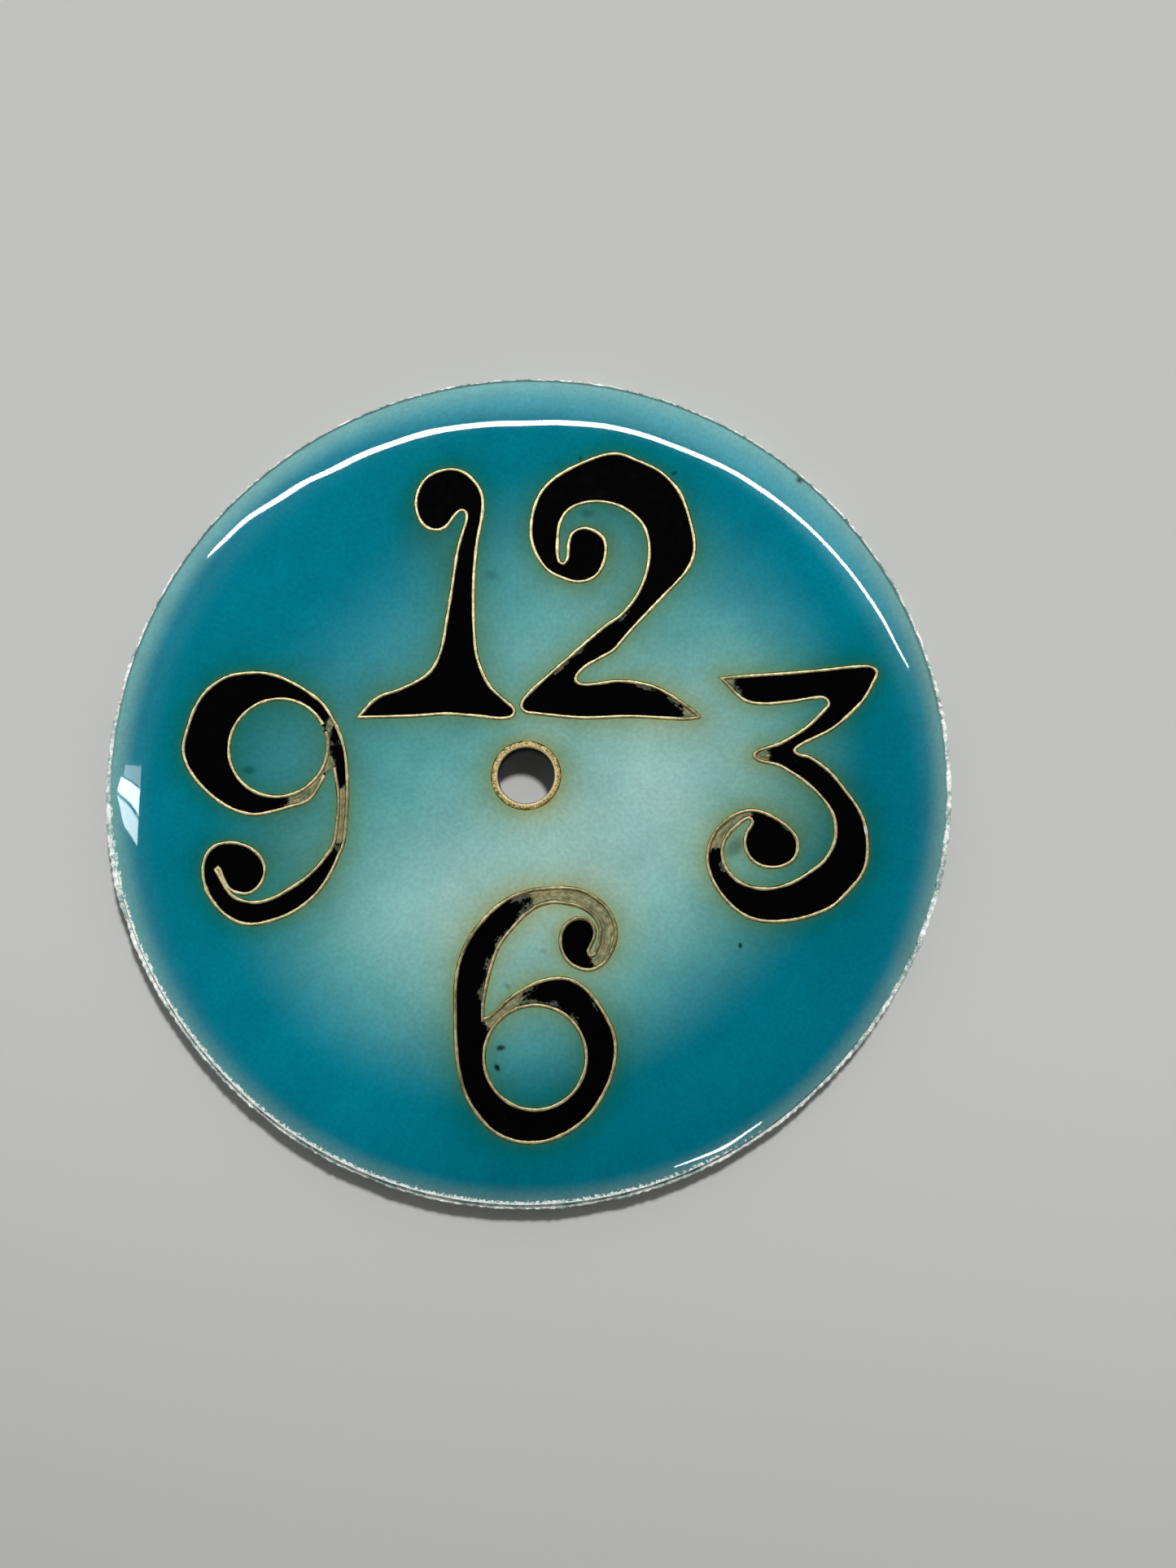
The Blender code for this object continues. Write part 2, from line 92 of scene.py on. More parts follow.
# Mesh fineness
WIRE_TRACE = 0.02
WIRE_STEP = 0.11
EDGE_STEP = 0.08
SPAN_SAMPLES = 24
GRID_STEP = 0.36
OFFSETS = (0.05, 0.13, 0.25, 0.42)
SEAM = 0.003
FACE_SIDES = 540
RIM_SIDES = 1440
BACK_SIDES = 360
RING_SIDES = 240
HOLE_SIDES = 160
BOWL_SIDES = (110, 107)
GRID_RADIUS = 13.4

# Centrelines of the wires: (x, y), or (x, y, 1) at a sharp bend
ONE = [
    (-6.35, 2.22, 1), (-4.2, 2.28), (-3.1, 2.35), (-2, 2.28), (-0.85, 2.18), (-0.52, 2.28),
    (-0.47, 2.5), (-0.95, 2.95), (-1.4, 3.4), (-1.7, 3.95), (-1.92, 4.6), (-2.03, 5.5), (-2.08, 7.5),
    (-1.98, 9), (-1.77, 10.4), (-1.82, 11), (-2.05, 11.45), (-2.5, 11.88), (-3, 12.02),
    (-3.6, 11.9), (-4, 11.63), (-4.28, 11.15), (-4.36, 10.65), (-4.28, 10.2), (-4.08, 9.83),
    (-3.8, 9.62), (-3.45, 9.58), (-3.17, 9.72), (-2.82, 10.2), (-2.6, 10.37), (-2.43, 10.3),
    (-2.38, 10.05), (-2.52, 9.5), (-2.7, 8.8), (-2.9, 7.3), (-3.1, 5.85), (-3.23, 5),
    (-3.4, 4.45), (-3.65, 4), (-4.05, 3.67), (-4.9, 3.25), (-5.45, 3.07), (-5.83, 2.82),
]
TWO = [
    (-0.17, 2.8), (0.1, 3.15), (1.45, 4.4), (3, 5.77), (3.5, 6.12), (3.95, 6.62), (4.3, 7.2),
    (4.55, 7.9), (4.65, 8.6), (4.6, 9.25), (4.42, 9.75), (4.05, 10.17), (3.55, 10.5), (3, 10.67),
    (2.45, 10.7), (1.9, 10.58), (1.45, 10.28), (1.2, 9.8), (1.12, 9.1), (1.13, 8.55), (1.2, 8.28),
    (1.35, 8.2), (1.5, 8.38), (1.55, 9), (1.68, 9.4), (1.93, 9.58), (2.22, 9.62), (2.6, 9.48),
    (2.9, 9.2), (2.98, 8.85), (2.92, 8.35), (2.7, 7.85), (2.33, 7.57), (1.85, 7.5), (1.4, 7.62),
    (0.8, 7.93), (0.37, 8.5), (0.14, 9.1), (0.1, 9.7), (0.22, 10.45), (0.48, 11.07), (0.95, 11.6),
    (1.55, 12), (2.35, 12.38), (3, 12.6), (3.5, 12.62), (4.2, 12.35), (5, 11.95), (5.45, 11.55),
    (5.83, 11.05), (6.07, 10.45), (6.27, 9.7), (6.38, 9), (6.32, 8.45), (6.05, 7.9), (5.2, 6.95),
    (4.45, 6.15), (3.9, 5.55), (3.5, 5.07), (3.3, 4.83), (2.2, 4.17), (1.88, 3.82), (1.85, 3.62),
    (2.05, 3.48), (2.65, 3.5), (3.35, 3.6), (4.1, 3.55), (4.8, 3.38), (5.35, 3.1), (5.9, 2.72),
    (6.35, 2.37), (6.5, 2.2, 1), (6, 2.15), (3.9, 2.25), (2.1, 2.2), (0.35, 2.37), (-0.03, 2.42),
    (-0.19, 2.58),
]
THREE = [
    (7.35, 3.7, 1), (8.4, 3.8), (9.9, 3.9), (11.3, 4.03), (12.45, 4.15), (12.98, 4.14),
    (13.2, 3.95), (13, 3.45), (12.65, 2.87), (12.1, 2.3), (11.45, 1.77), (10.7, 1.38), (10.2, 1.12),
    (10.03, 0.93), (10.2, 0.78), (10.55, 0.7), (10.9, 0.48), (11.4, 0.05), (11.9, -0.6),
    (12.3, -1.17), (12.55, -1.75), (12.65, -2.5), (12.6, -3.2), (12.4, -3.7), (12, -4.2),
    (11.3, -4.85), (10.7, -5.13), (10, -5.33), (9.2, -5.42), (8.4, -5.33), (7.9, -5.08),
    (7.47, -4.7), (7.1, -4.22), (6.83, -3.65), (6.73, -3.1), (6.85, -2.5), (7.15, -2),
    (7.57, -1.6), (7.98, -1.39), (8.4, -1.31), (8.82, -1.4), (9.3, -1.63), (9.73, -1.95),
    (10.02, -2.32), (10.08, -2.7), (9.95, -3.08), (9.57, -3.35), (9.07, -3.43), (8.63, -3.33),
    (8.28, -3.02), (8.13, -2.6), (8.2, -2.17), (8.43, -1.75), (8.3, -1.58), (8.1, -1.67),
    (7.48, -2.27), (7.3, -2.68), (7.3, -3.1), (7.45, -3.52), (7.82, -3.93), (8.4, -4.18),
    (9.05, -4.22), (9.73, -4.05), (10.4, -3.68), (11.05, -3.18), (11.43, -2.52), (11.5, -1.95),
    (11.4, -1.43), (11.03, -0.85), (10.48, -0.3), (9.9, 0.12), (9.4, 0.4), (8.7, 0.57),
    (8.52, 0.73), (8.68, 0.92), (9.45, 1.18), (9.9, 1.42), (10.55, 1.85), (11.05, 2.33),
    (11.37, 2.73), (11.2, 2.95), (10.8, 2.95), (9.85, 2.8), (8.85, 2.73), (8.2, 2.87),
]
SIX = [
    (-1.5, -9, 1), (-1.5, -8.5), (-1.37, -7.7), (-1.2, -7), (-0.95, -6.35), (-0.5, -5.72),
    (0, -5.2), (0.45, -4.88), (1, -4.73), (1.6, -4.78), (2.15, -4.95), (2.6, -5.3), (2.8, -5.8),
    (2.7, -6.3), (2.57, -6.62), (2.43, -6.7), (2.35, -6.53), (2.57, -5.95), (2.52, -5.6),
    (2.3, -5.37), (1.9, -5.33), (1.5, -5.58), (1.33, -6), (1.38, -6.5), (1.6, -6.88), (2, -7.13),
    (2.45, -7.18), (2.9, -6.95), (3.2, -6.5), (3.35, -6), (3.3, -5.5), (3.05, -5), (2.7, -4.65),
    (2.2, -4.35), (1.7, -4.22), (0.9, -4.22), (0.1, -4.33), (-0.6, -4.6), (-1.2, -5.05),
    (-1.7, -5.6), (-2.1, -6.2), (-2.37, -6.9), (-2.5, -7.7), (-2.5, -8.8), (-2.45, -9.9),
    (-2.33, -10.8), (-2.05, -11.7), (-1.6, -12.4), (-1, -12.97), (-0.35, -13.25), (0.35, -13.33),
    (1, -13.22), (1.75, -12.87), (2.4, -12.33), (2.87, -11.65), (3.2, -10.9), (3.33, -10.15),
    (3.27, -9.5), (3, -8.9), (2.65, -8.35), (2.2, -7.85), (1.7, -7.56), (1.2, -7.5), (0.55, -7.63),
    (-0.05, -7.92), (-0.55, -8.27), (-1.25, -8.9),
]
NINE = [
    (-7.55, 0), (-8.1, -0.9), (-8.9, -1.2), (-9.5, -1.37), (-10.1, -1.47), (-10.7, -1.37),
    (-11.3, -1.1), (-11.9, -0.65), (-12.45, -0.08), (-12.8, 0.5), (-12.93, 1.05), (-12.75, 2),
    (-12.55, 2.6), (-12.25, 3.12), (-11.8, 3.55), (-11.3, 3.82), (-10.65, 3.93), (-10, 3.93),
    (-9.4, 3.78), (-8.8, 3.5), (-8.2, 3.13), (-7.65, 2.65), (-6.85, 1), (-6.75, -2.4),
    (-6.95, -3.02), (-7.2, -3.62), (-7.5, -4.13), (-7.9, -4.6), (-8.4, -5), (-9, -5.3),
    (-9.9, -5.54), (-10.5, -5.5), (-11, -5.25), (-11.42, -4.87), (-11.75, -4.4), (-11.93, -3.9),
    (-11.97, -3.4), (-11.83, -2.92), (-11.5, -2.62), (-11, -2.53), (-10.5, -2.62), (-10.1, -2.83),
    (-9.8, -3.15), (-9.67, -3.55), (-9.77, -4), (-10.02, -4.3), (-10.37, -4.43), (-10.95, -4.25),
    (-11.4, -3.45, 1), (-11.5, -3.55, 1), (-10.85, -4.5), (-10.4, -4.7), (-9.9, -4.75),
    (-9.3, -4.58), (-8.8, -4.3), (-8.3, -3.97), (-7.8, -3.53), (-7.42, -3.05), (-7.15, -2.6),
    (-7, -0.95), (-7.2, 0.3),
]

# Round wires inside the bowls: centre, radius, and the gap's first and last angle in degrees
SIX_BOWL = ((0.42, -10.33), 1.86, None)
NINE_BOWL = ((-9.34, 1.06), 1.87, (19, 28))

# Where black enamel meets clear enamel inside one cell, without a wire between them
BOUNDARIES = {
    "two_tip": [(5.75, 2.85), (5.9, 2.5), (5.85, 2.15)],
    "three_top_tip": [(7.9, 3.05), (7.8, 3.4), (7.9, 3.8)],
    "three_middle_tip": [(9.05, 0.5), (9.1, 0.85), (8.95, 1.03)],
    "three_curl_tip": [(6.75, -2.85), (7, -2.7), (7.35, -2.75)],
    "three_ball_side": [(8.3, -1.25), (8.38, -1.42), (8.35, -1.65)],
    "six_stem_tip": [(0.1, -4.3), (0.3, -4.65), (0.2, -5)],
    "six_ball_side": [(2.7, -7.1), (2.5, -6.95), (2.4, -6.6)],
    "six_bowl_tip": [(-0.1, -7.9), (0, -8.15), (-0.35, -8.7)],
    "six_notch": [(-1.5, -9), (-1.3, -9.25), (-1.1, -9.4)],
    "nine_top_tip": [(-7.35, 2.3), (-7.5, 2.1), (-7.6, 1.7)],
    "nine_bowl_break": [(-7.55, 1.6), (-7.62, 1.8), (-7.72, 2)],
    "nine_left_tip": [(-8.9, -1.25), (-8.85, -1.05), (-8.9, -0.7)],
    "nine_stem_side": [(-7.2, 2), (-7.38, 1.7), (-7.35, 0.8), (-7.2, 0.5), (-7.18, 0.2)],
    "nine_neck_mouth": [(-7.55, -0.05), (-7.4, 0.15), (-7.18, 0.25)],
    "nine_stem_foot": [(-6.7, -0.4), (-6.85, -0.45), (-7.05, -0.5)],
    "nine_tail_tip": [(-6.75, -2.5), (-6.9, -2.55), (-7.15, -2.55)],
}

# One point inside each enamel cell
CELLS = {
    "ground_enamel": (0, -2.5),
    "one_enamel": (-2.5, 6.5),
    "two_enamel": (4.9, 8.6),
    "two_tip_flux": (6.15, 2.33),
    "three_enamel": (12, -2.2),
    "three_top_tip_flux": (7.6, 3.55),
    "three_middle_tip_flux": (8.75, 0.75),
    "three_curl_flux": (7.2, -2.35),
    "three_ball_enamel": (9.2, -2.4),
    "six_enamel": (-2, -8.5),
    "six_ball_enamel": (1.9, -6.3),
    "six_top_flux": (2.4, -4.75),
    "six_bowl_flux": (-0.8, -8.7),
    "six_bowl_ground": (0.42, -10.33),
    "nine_enamel": (-12, 1.5),
    "nine_top_flux": (-7.45, 1.85),
    "nine_neck_flux": (-8.2, -0.67),
    "nine_stem_enamel": (-7, 0.7),
    "nine_stem_flux": (-6.88, -1.5),
    "nine_tail_enamel": (-8.6, -4.7),
    "nine_bowl_ground": (-9.34, 1.06),
}

# Places where the black stops short of the wire: x, y, how far around, how wide the bare strip is
THIN_BLACK = [
    (1.3, 4.1, 0.7, 0.09), (2, 4.75, 0.5, 0.08), (3.6, 6.15, 0.5, 0.09), (4.5, 3.4, 0.6, 0.1),
    (5.5, 2.8, 0.45, 0.14), (8, 3.3, 0.35, 0.16), (9.1, 0.8, 0.25, 0.1), (-0.9, -6.2, 0.6, 0.12),
    (-1.3, -7, 0.6, 0.12), (-1.55, -8, 0.6, 0.12), (0, -4.7, 0.9, 0.18), (0.2, -8.2, 0.7, 0.12),
    (1.1, -8.35, 0.6, 0.12), (1.9, -8.9, 0.5, 0.1), (2.4, -8.6, 0.6, 0.08), (-8.8, -1, 0.4, 0.12),
    (7.3, -3.4, 0.35, 0.14), (-7.25, 1.2, 0.35, 0.1), (-7, -2.7, 0.3, 0.08), (9.6, -1.9, 0.3, 0.1),
    (-11.5, -4.9, 0.4, 0.06),
]

# Dark specks and smudges in the enamel: x, y, half length, strength, direction in degrees
SPECKS = [
    (2.3, 10.2, 0.28, 0.35, 0), (-1.4, 7.75, 0.3, 0.3, -15), (-0.83, -10, 0.17, 0.95, 10),
    (-0.95, -10.7, 0.15, 1, -60), (-10.4, 0.2, 0.25, 0.45, 0), (7.9, -6.3, 0.11, 0.95, 90),
    (10.5, 11.65, 0.16, 1, 0), (2, 12.45, 0.09, 0.7, 60), (5.6, 11.8, 0.12, 0.8, 0),
    (6.4, 12.2, 0.08, 0.7, 20), (0.7, -6.5, 0.15, 0.25, 0), (-0.6, -7.8, 0.15, 0.3, -40),
    (7.75, -2.7, 0.45, 0.45, 50),
]
SPECK_SLIMNESS = 1.7

# Linear colours
DEEP = np.array((0.0, 0.168, 0.238))
PALE_STEP = np.array((1.0, 2.05, 1.2))
PALE_BEND = np.array((0.0, 3.0, 2.2))
# Outer band along the top: partly glass thinning over the silver, partly painted reflection and light
TOP_THIN_AND_SHEEN_BAND = np.array((0.05, 0.27, 0.33))
# Edge colour on the upper left, painted lighter as light falling from that side
EDGE_PAINTED_LIT = np.array((0.125, 0.33, 0.335))
EDGE_DIM = np.array((0.12, 0.25, 0.24))
HALO_GOLD = np.array((0.03, 0.025, 0.003))

# The pale middle: how far it reaches and fades, the ways that it leans and bulges, its strength
PALE_REACH = 12.25
PALE_FADE = 8.3
PALE_LEAN = math.radians(305)
BULGE_LEAN = math.radians(35)
TOP_RISE = math.radians(78)
PALE_LEVEL = 0.175

# Where the outer bands start and are complete: radius, or distance past the enamel's edge
TOP_THIN_AND_SHEEN_SPAN = (13.8, 14.9)
EDGE_SPAN = (14.75, 15.8)
TOP_EDGE_DARK_SPAN = (-0.1, -0.03)
THIN_SPAN = (-0.26, 0.04)

# How gold stains the glass around it: how far it reaches, and the share of each colour lost
STAINS = [(0.30, np.array((0.0, 0.22, 0.52))), (0.90, np.array((0.0, 0.22, 0.40)))]

# Glass between wires that the gold has warmed: x, y, how far around
FUMED = [(-9.8, 1.5, 1.9), (3, 8.8, 1.8), (-3.4, 9, 1.3), (10.2, -1.4, 1.4), (-8.8, -2.6, 1.3)]

# Where a wire lies a little below the glaze and looks dull and blurred: x, y, how far around
SUNKEN = [
    (2.3, -5.2, 1.5), (3, -6.2, 0.9), (-0.9, -8.5, 0.9), (-7, -1.4, 1.3), (-7.6, 1.2, 0.7),
    (7.1, -2, 0.8), (6.1, 2.45, 0.6), (8.7, 0.8, 0.4), (7.7, 3.5, 0.5), (-1.9, -6.3, 0.8),
    (-2.4, -8.4, 0.7), (0.3, -4.4, 0.9), (-2.2, -11.3, 0.5),
]

# Painted highlights on the wire, where it turns white: x, y, how far around
PAINTED_GLINTS = [(12.58, -2.05, 0.1)]


# ---- Plane curves ----

def smooth_curve(points, closed):
    """Dense centripetal Catmull-Rom curve through points; a third value of 1 marks a corner."""
    place = np.array([p[:2] for p in points], float)
    corner = [len(p) == 3 for p in points]
    count = len(points)
    if not closed:
        corner[0] = corner[-1] = True

    def tangent(i):
        before, here, after = place[i - 1], place[i], place[(i + 1) % count]
        d1 = np.linalg.norm(here - before) ** 0.5
        d2 = np.linalg.norm(after - here) ** 0.5
        return (here - before) / d1 - (after - before) / (d1 + d2) + (after - here) / d2

    t = (np.arange(SPAN_SAMPLES) / SPAN_SAMPLES)[:, None]
    pieces = []
    for i in range(count if closed else count - 1):
        j = (i + 1) % count
        start, end = place[i], place[j]
        width = np.linalg.norm(end - start) ** 0.5
        leave = end - start if corner[i] else tangent(i) * width
        arrive = end - start if corner[j] else tangent(j) * width
        pieces.append(
            (2 * t**3 - 3 * t**2 + 1) * start
            + (t**3 - 2 * t**2 + t) * leave
            + (3 * t**2 - 2 * t**3) * end
            + (t**3 - t**2) * arrive
        )
    dense = np.concatenate(pieces)
    return dense if closed else np.vstack([dense, place[-1:]])


def resampled(track, closed, step):
    """The same line with its points evenly spaced."""
    line = np.vstack([track, track[:1]]) if closed else track
    run = np.concatenate([[0], np.cumsum(np.linalg.norm(np.diff(line, axis=0), axis=1))])
    count = max(2, round(run[-1] / step))
    places = np.linspace(0, run[-1], count + 1)
    found = np.stack([np.interp(places, run, line[:, k]) for k in range(2)], axis=1)
    return found[:-1] if closed else found


def circle(centre, radius, sides, span=None):
    """A circle, anticlockwise; span leaves out the stretch between two angles in degrees."""
    if span is None:
        angles = 2 * math.pi * np.arange(sides) / sides
    else:
        angles = np.radians(np.linspace(span[1], span[0] + 360, sides))
    return np.stack([np.cos(angles), np.sin(angles)], axis=1) * radius + np.array(centre)


def sideways(track, closed, distance):
    """The track moved to its left by a distance, with mitred bends."""
    ahead = np.roll(track, -1, axis=0) - track
    if not closed:
        ahead[-1] = track[-1] - track[-2]
    ahead /= np.linalg.norm(ahead, axis=1)[:, None]
    behind = np.roll(ahead, 1, axis=0)
    if not closed:
        behind[0] = ahead[0]
    left = np.stack([-(ahead + behind)[:, 1], (ahead + behind)[:, 0]], axis=1)
    left /= np.maximum(np.linalg.norm(left, axis=1)[:, None], 1e-9)
    flat = np.stack([-ahead[:, 1], ahead[:, 0]], axis=1)
    stretch = 1 / np.maximum((left * flat).sum(axis=1), 0.6)
    return track + left * (np.asarray(distance) * stretch)[:, None]


def ripple(places, size, seed):
    """A smooth random surface between about -1 and 1, with bumps of a given size."""
    generator = np.random.default_rng(seed)
    total = np.zeros(len(places))
    waves = 7
    for _ in range(waves):
        angle, phase = generator.uniform(0, 2 * math.pi, 2)
        pitch = 2 * math.pi / (size * generator.uniform(0.7, 1.6))
        direction = np.array((math.cos(angle), math.sin(angle))) * pitch
        total += np.sin(places[:, :2] @ direction + phase)
    return total / math.sqrt(waves)


def even_wire(points, closed):
    return resampled(smooth_curve(points, closed), closed, WIRE_STEP), closed


WIRES = {
    "one_wire": even_wire(ONE, True),
    "two_wire": even_wire(TWO, True),
    "three_wire": even_wire(THREE, True),
    "six_wire": even_wire(SIX, True),
    "nine_wire": even_wire(NINE, False),
    "six_bowl_wire": (circle(*SIX_BOWL[:2], BOWL_SIDES[0]), True),
    "nine_bowl_wire": (circle(*NINE_BOWL[:2], BOWL_SIDES[1], NINE_BOWL[2]), False),
}
EDGES = [
    resampled(smooth_curve(points, False), False, EDGE_STEP) for points in BOUNDARIES.values()
]


def tree_of(lines, step):
    """A search tree of closely spaced points along lines, each given as (track, closed)."""
    dense = np.concatenate([resampled(track, closed, step) for track, closed in lines])
    tree = KDTree(len(dense))
    for i, (x, y) in enumerate(dense):
        tree.insert((x, y, 0), i)
    tree.balance()
    return tree


def distances(tree, places):
    return np.array([tree.find((x, y, 0))[2] for x, y in places])


def closeness(places, spots):
    """From 0 to 1, how near each place is to the nearest of some (x, y, radius) spots."""
    near = np.zeros(len(places))
    for x, y, reach in spots:
        gap = ((places - (x, y)) ** 2).sum(axis=1)
        near = np.maximum(near, np.exp(-gap / reach**2))
    return near


WIRE_TREE = tree_of(list(WIRES.values()), WIRE_TRACE)
EDGE_TREE = tree_of([(track, False) for track in EDGES], SEAM)


def smoothstep(low, high, value):
    share = np.clip((value - low) / (high - low), 0, 1)
    return share * share * (3 - 2 * share)


def spread(azimuth):
    """How much further the enamel reaches towards the 12, and how much less towards the 6."""
    return TOP_SPREAD * topness(azimuth) - LOW_BARE * lowness(azimuth)


def lowness(azimuth):
    """1 on the side of the 6, where the edge is filed back furthest, and 0 above."""
    return smoothstep(0.2, 0.75, -np.sin(azimuth))


def topness(azimuth):
    """1 on the side of the 12, where the enamel runs out almost to the edge, and 0 below."""
    return smoothstep(-0.25, 0.65, np.sin(azimuth))


# ---- The face, cut into cells ----

def face_height(radius):
    """The face bends down towards the lip, ever more steeply."""
    share = np.clip((radius - MENISCUS_START) / (FIELD_RADIUS - MENISCUS_START), 0, None)
    return FACE - MENISCUS_DROP * share**MENISCUS_POWER


def free_points():
    """Unconnected points that make the mesh fine where the look changes fast."""
    generator = np.random.default_rng(5)
    beside = []
    for track, closed in WIRES.values():
        for offset in OFFSETS:
            for side in (-1, 1):
                moved = sideways(track, closed, side * (WIRE_WIDTH / 2 + offset))
                far = distances(WIRE_TREE, moved)
                beside.append(moved[far > WIRE_WIDTH / 2 + 0.8 * offset])
    ticks = np.arange(-FIELD_RADIUS, FIELD_RADIUS, GRID_STEP)
    grid = np.stack(np.meshgrid(ticks, ticks), axis=-1).reshape(-1, 2)
    grid += generator.uniform(-0.25, 0.25, grid.shape) * GRID_STEP
    radius = np.linalg.norm(grid, axis=1)
    grid = grid[(radius < GRID_RADIUS) & (radius > RING_RADIUS + 0.5)]
    grid = grid[distances(WIRE_TREE, grid) > WIRE_WIDTH / 2 + OFFSETS[-1] + 0.15]
    coarse, fine = np.arange(13.5, 15.2, 0.16), np.arange(15.25, FIELD_RADIUS - 0.03, 0.07)
    rings = [circle((0, 0), reach, FACE_SIDES) for reach in np.concatenate([coarse, fine])]
    rings += [circle((0, 0), RING_RADIUS + gap, HOLE_SIDES) for gap in (0.06, 0.14, 0.25, 0.4)]
    specks = np.concatenate([
        circle(speck[:2], speck[2] * share, 12)
        for speck in SPECKS if math.hypot(*speck[:2]) < 13 for share in (0.4, 0.8, 1.2)
    ])
    specks = specks[distances(WIRE_TREE, specks) > WIRE_WIDTH / 2 + OFFSETS[0]]
    return np.concatenate(beside + [grid] + rings + [specks])


def arrangement():
    """Triangles over the whole face, with every wire's edge and every boundary as lines."""
    half = WIRE_WIDTH / 2 + SEAM
    loops = [circle((0, 0), FIELD_RADIUS, FACE_SIDES), circle((0, 0), RING_RADIUS + SEAM, HOLE_SIDES)]
    for track, closed in WIRES.values():
        left, right = sideways(track, closed, half), sideways(track, closed, -half)
        loops += [left, right] if closed else [np.vstack([left, right[::-1]])]
    for track in EDGES:
        left, right = sideways(track, False, SEAM), sideways(track, False, -SEAM)
        loops.append(np.vstack([left, right[::-1]]))
    points, edges = [], []
    for loop in loops:
        first = len(points)
        points += [Vector(p) for p in loop]
        edges += [(first + i, first + (i + 1) % len(loop)) for i in range(len(loop))]
    points += [Vector(p) for p in free_points()]
    found = delaunay_2d_cdt(points, edges, [], 0, 1e-5, False)
    return np.array([tuple(p) for p in found[0]]), np.array([f[:3] for f in found[2]])


def components(triangles):
    """Groups of triangles joined edge to edge."""
    owner = list(range(len(triangles)))

    def root(i):
        while owner[i] != i:
            owner[i] = owner[owner[i]]
            i = owner[i]
        return i

    seen = {}
    for i, corners in enumerate(triangles.tolist()):
        for k in range(3):
            a, b = corners[k], corners[(k + 1) % 3]
            edge = (a, b) if a < b else (b, a)
            if edge in seen:
                owner[root(i)] = root(seen[edge])
            else:
                seen[edge] = i
    groups = {}
    for i in range(len(triangles)):
        groups.setdefault(root(i), []).append(i)
    return [triangles[group] for group in groups.values()]


def holds(places, triangles, point):
    """Whether one of the triangles has the point inside it."""
    a, b, c = (places[triangles[:, k]] for k in range(3))
    inside = np.ones(len(triangles), bool)
    for p, q in ((a, b), (b, c), (c, a)):
        inside &= np.cross(q - p, np.array(point) - p) >= 0
    return inside.any()


def widened(places):
    """The places with the outermost part of the face moved out or in to its real edge."""
    radius = np.linalg.norm(places, axis=1)
    share = smoothstep(14.5, FIELD_RADIUS, radius)
    grown = spread(np.arctan2(places[:, 1], places[:, 0])) * share
    return places * (1 + grown / np.maximum(radius, 1e-6))[:, None]


def cells():
    """The triangles of each enamel cell, by node name, and the points that they share."""
    places, triangles = arrangement()
    centre = places[triangles].mean(axis=1)
    radius = np.linalg.norm(centre, axis=1)
    free = (radius < FIELD_RADIUS) & (radius > RING_RADIUS + SEAM)
    free &= distances(WIRE_TREE, centre) > WIRE_WIDTH / 2 + SEAM
    free &= distances(EDGE_TREE, centre) > SEAM
    groups = components(triangles[free])
    found = {}
    for name, seed in CELLS.items():
        found[name] = next(group for group in groups if holds(places, group, seed))
    return widened(places), found


# ---- Meshes ----

def placed(name, data):
    """A new object in the scene."""
    made = bpy.data.objects.new(name, data)
    bpy.context.scene.collection.objects.link(made)
    return made


def add_layer(mesh, name, kind, field, numbers):
    """Numbers for the mesh's points, which a material can read by name."""
    layer = mesh.attributes.new(name, kind, "POINT")
    layer.data.foreach_set(field, np.asarray(numbers, np.float32).ravel())


def add_piece(name, points, faces, finish, node, values=None, colours=None, flow=None):
    """A smooth piece that stands for a CAD node; points are in millimetres."""
    mesh = bpy.data.meshes.new(name)
    mesh.from_pydata((np.asarray(points) * MM).tolist(), [], faces)
    for key, numbers in (values or {}).items():
        add_layer(mesh, key, "FLOAT", "value", numbers)
    if colours is not None:
        opaque = np.column_stack([colours, np.ones(len(colours))])
        add_layer(mesh, "tint", "FLOAT_COLOR", "color", opaque)
    if flow is not None:
        add_layer(mesh, "flow", "FLOAT_VECTOR", "vector", flow)
    mesh.update()
    mesh.shade_smooth()
    mesh.set_sharp_from_angle(angle=math.radians(40))
    mesh.materials.append(finish)
    made = placed(name, mesh)
    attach(made, "root")
    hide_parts(node)


def turned(profile_at, count, sides):
    """Points and faces of a ring whose closed profile of count (radius, height) pairs may change."""
    points = []
    for k in range(sides):
        angle = 2 * math.pi * k / sides
        points += [(r * math.cos(angle), r * math.sin(angle), z) for r, z in profile_at(angle)]
    faces = []
    for k in range(sides):
        here, there = k * count, (k + 1) % sides * count
        for i in range(count):
            j = (i + 1) % count
            faces.append((here + i, there + i, there + j, here + j))
    return np.array(points), faces


def around(angle, seed, pitch, waves=6):
    """A random wave round the dial that closes on itself; pitch is its length in millimetres."""
    generator = np.random.default_rng(seed)
    total = 0.0
    for _ in range(waves):
        turns = round(2 * math.pi * DISC_RADIUS / (pitch * generator.uniform(0.6, 1.8)))
        total += math.sin(turns * angle + generator.uniform(0, 2 * math.pi))
    return total / math.sqrt(waves)


# ---- Colour of the ground ----

def thin_lit_edge(places):
    """From 0 to 1, how thin the glass runs out over the silver along the edge near the 6 and 9, kept
    to the lower left, where it is also painted light.
    """
    radius = np.linalg.norm(places, axis=1)
    azimuth = np.arctan2(places[:, 1], places[:, 0])
    # Painted light: the frost is kept to the lower left, where the edge looks lit
    lit = smoothstep(0.25, 0.85, np.cos(azimuth - math.radians(243)))
    return smoothstep(*THIN_SPAN, radius - FIELD_RADIUS - spread(azimuth)) * lit


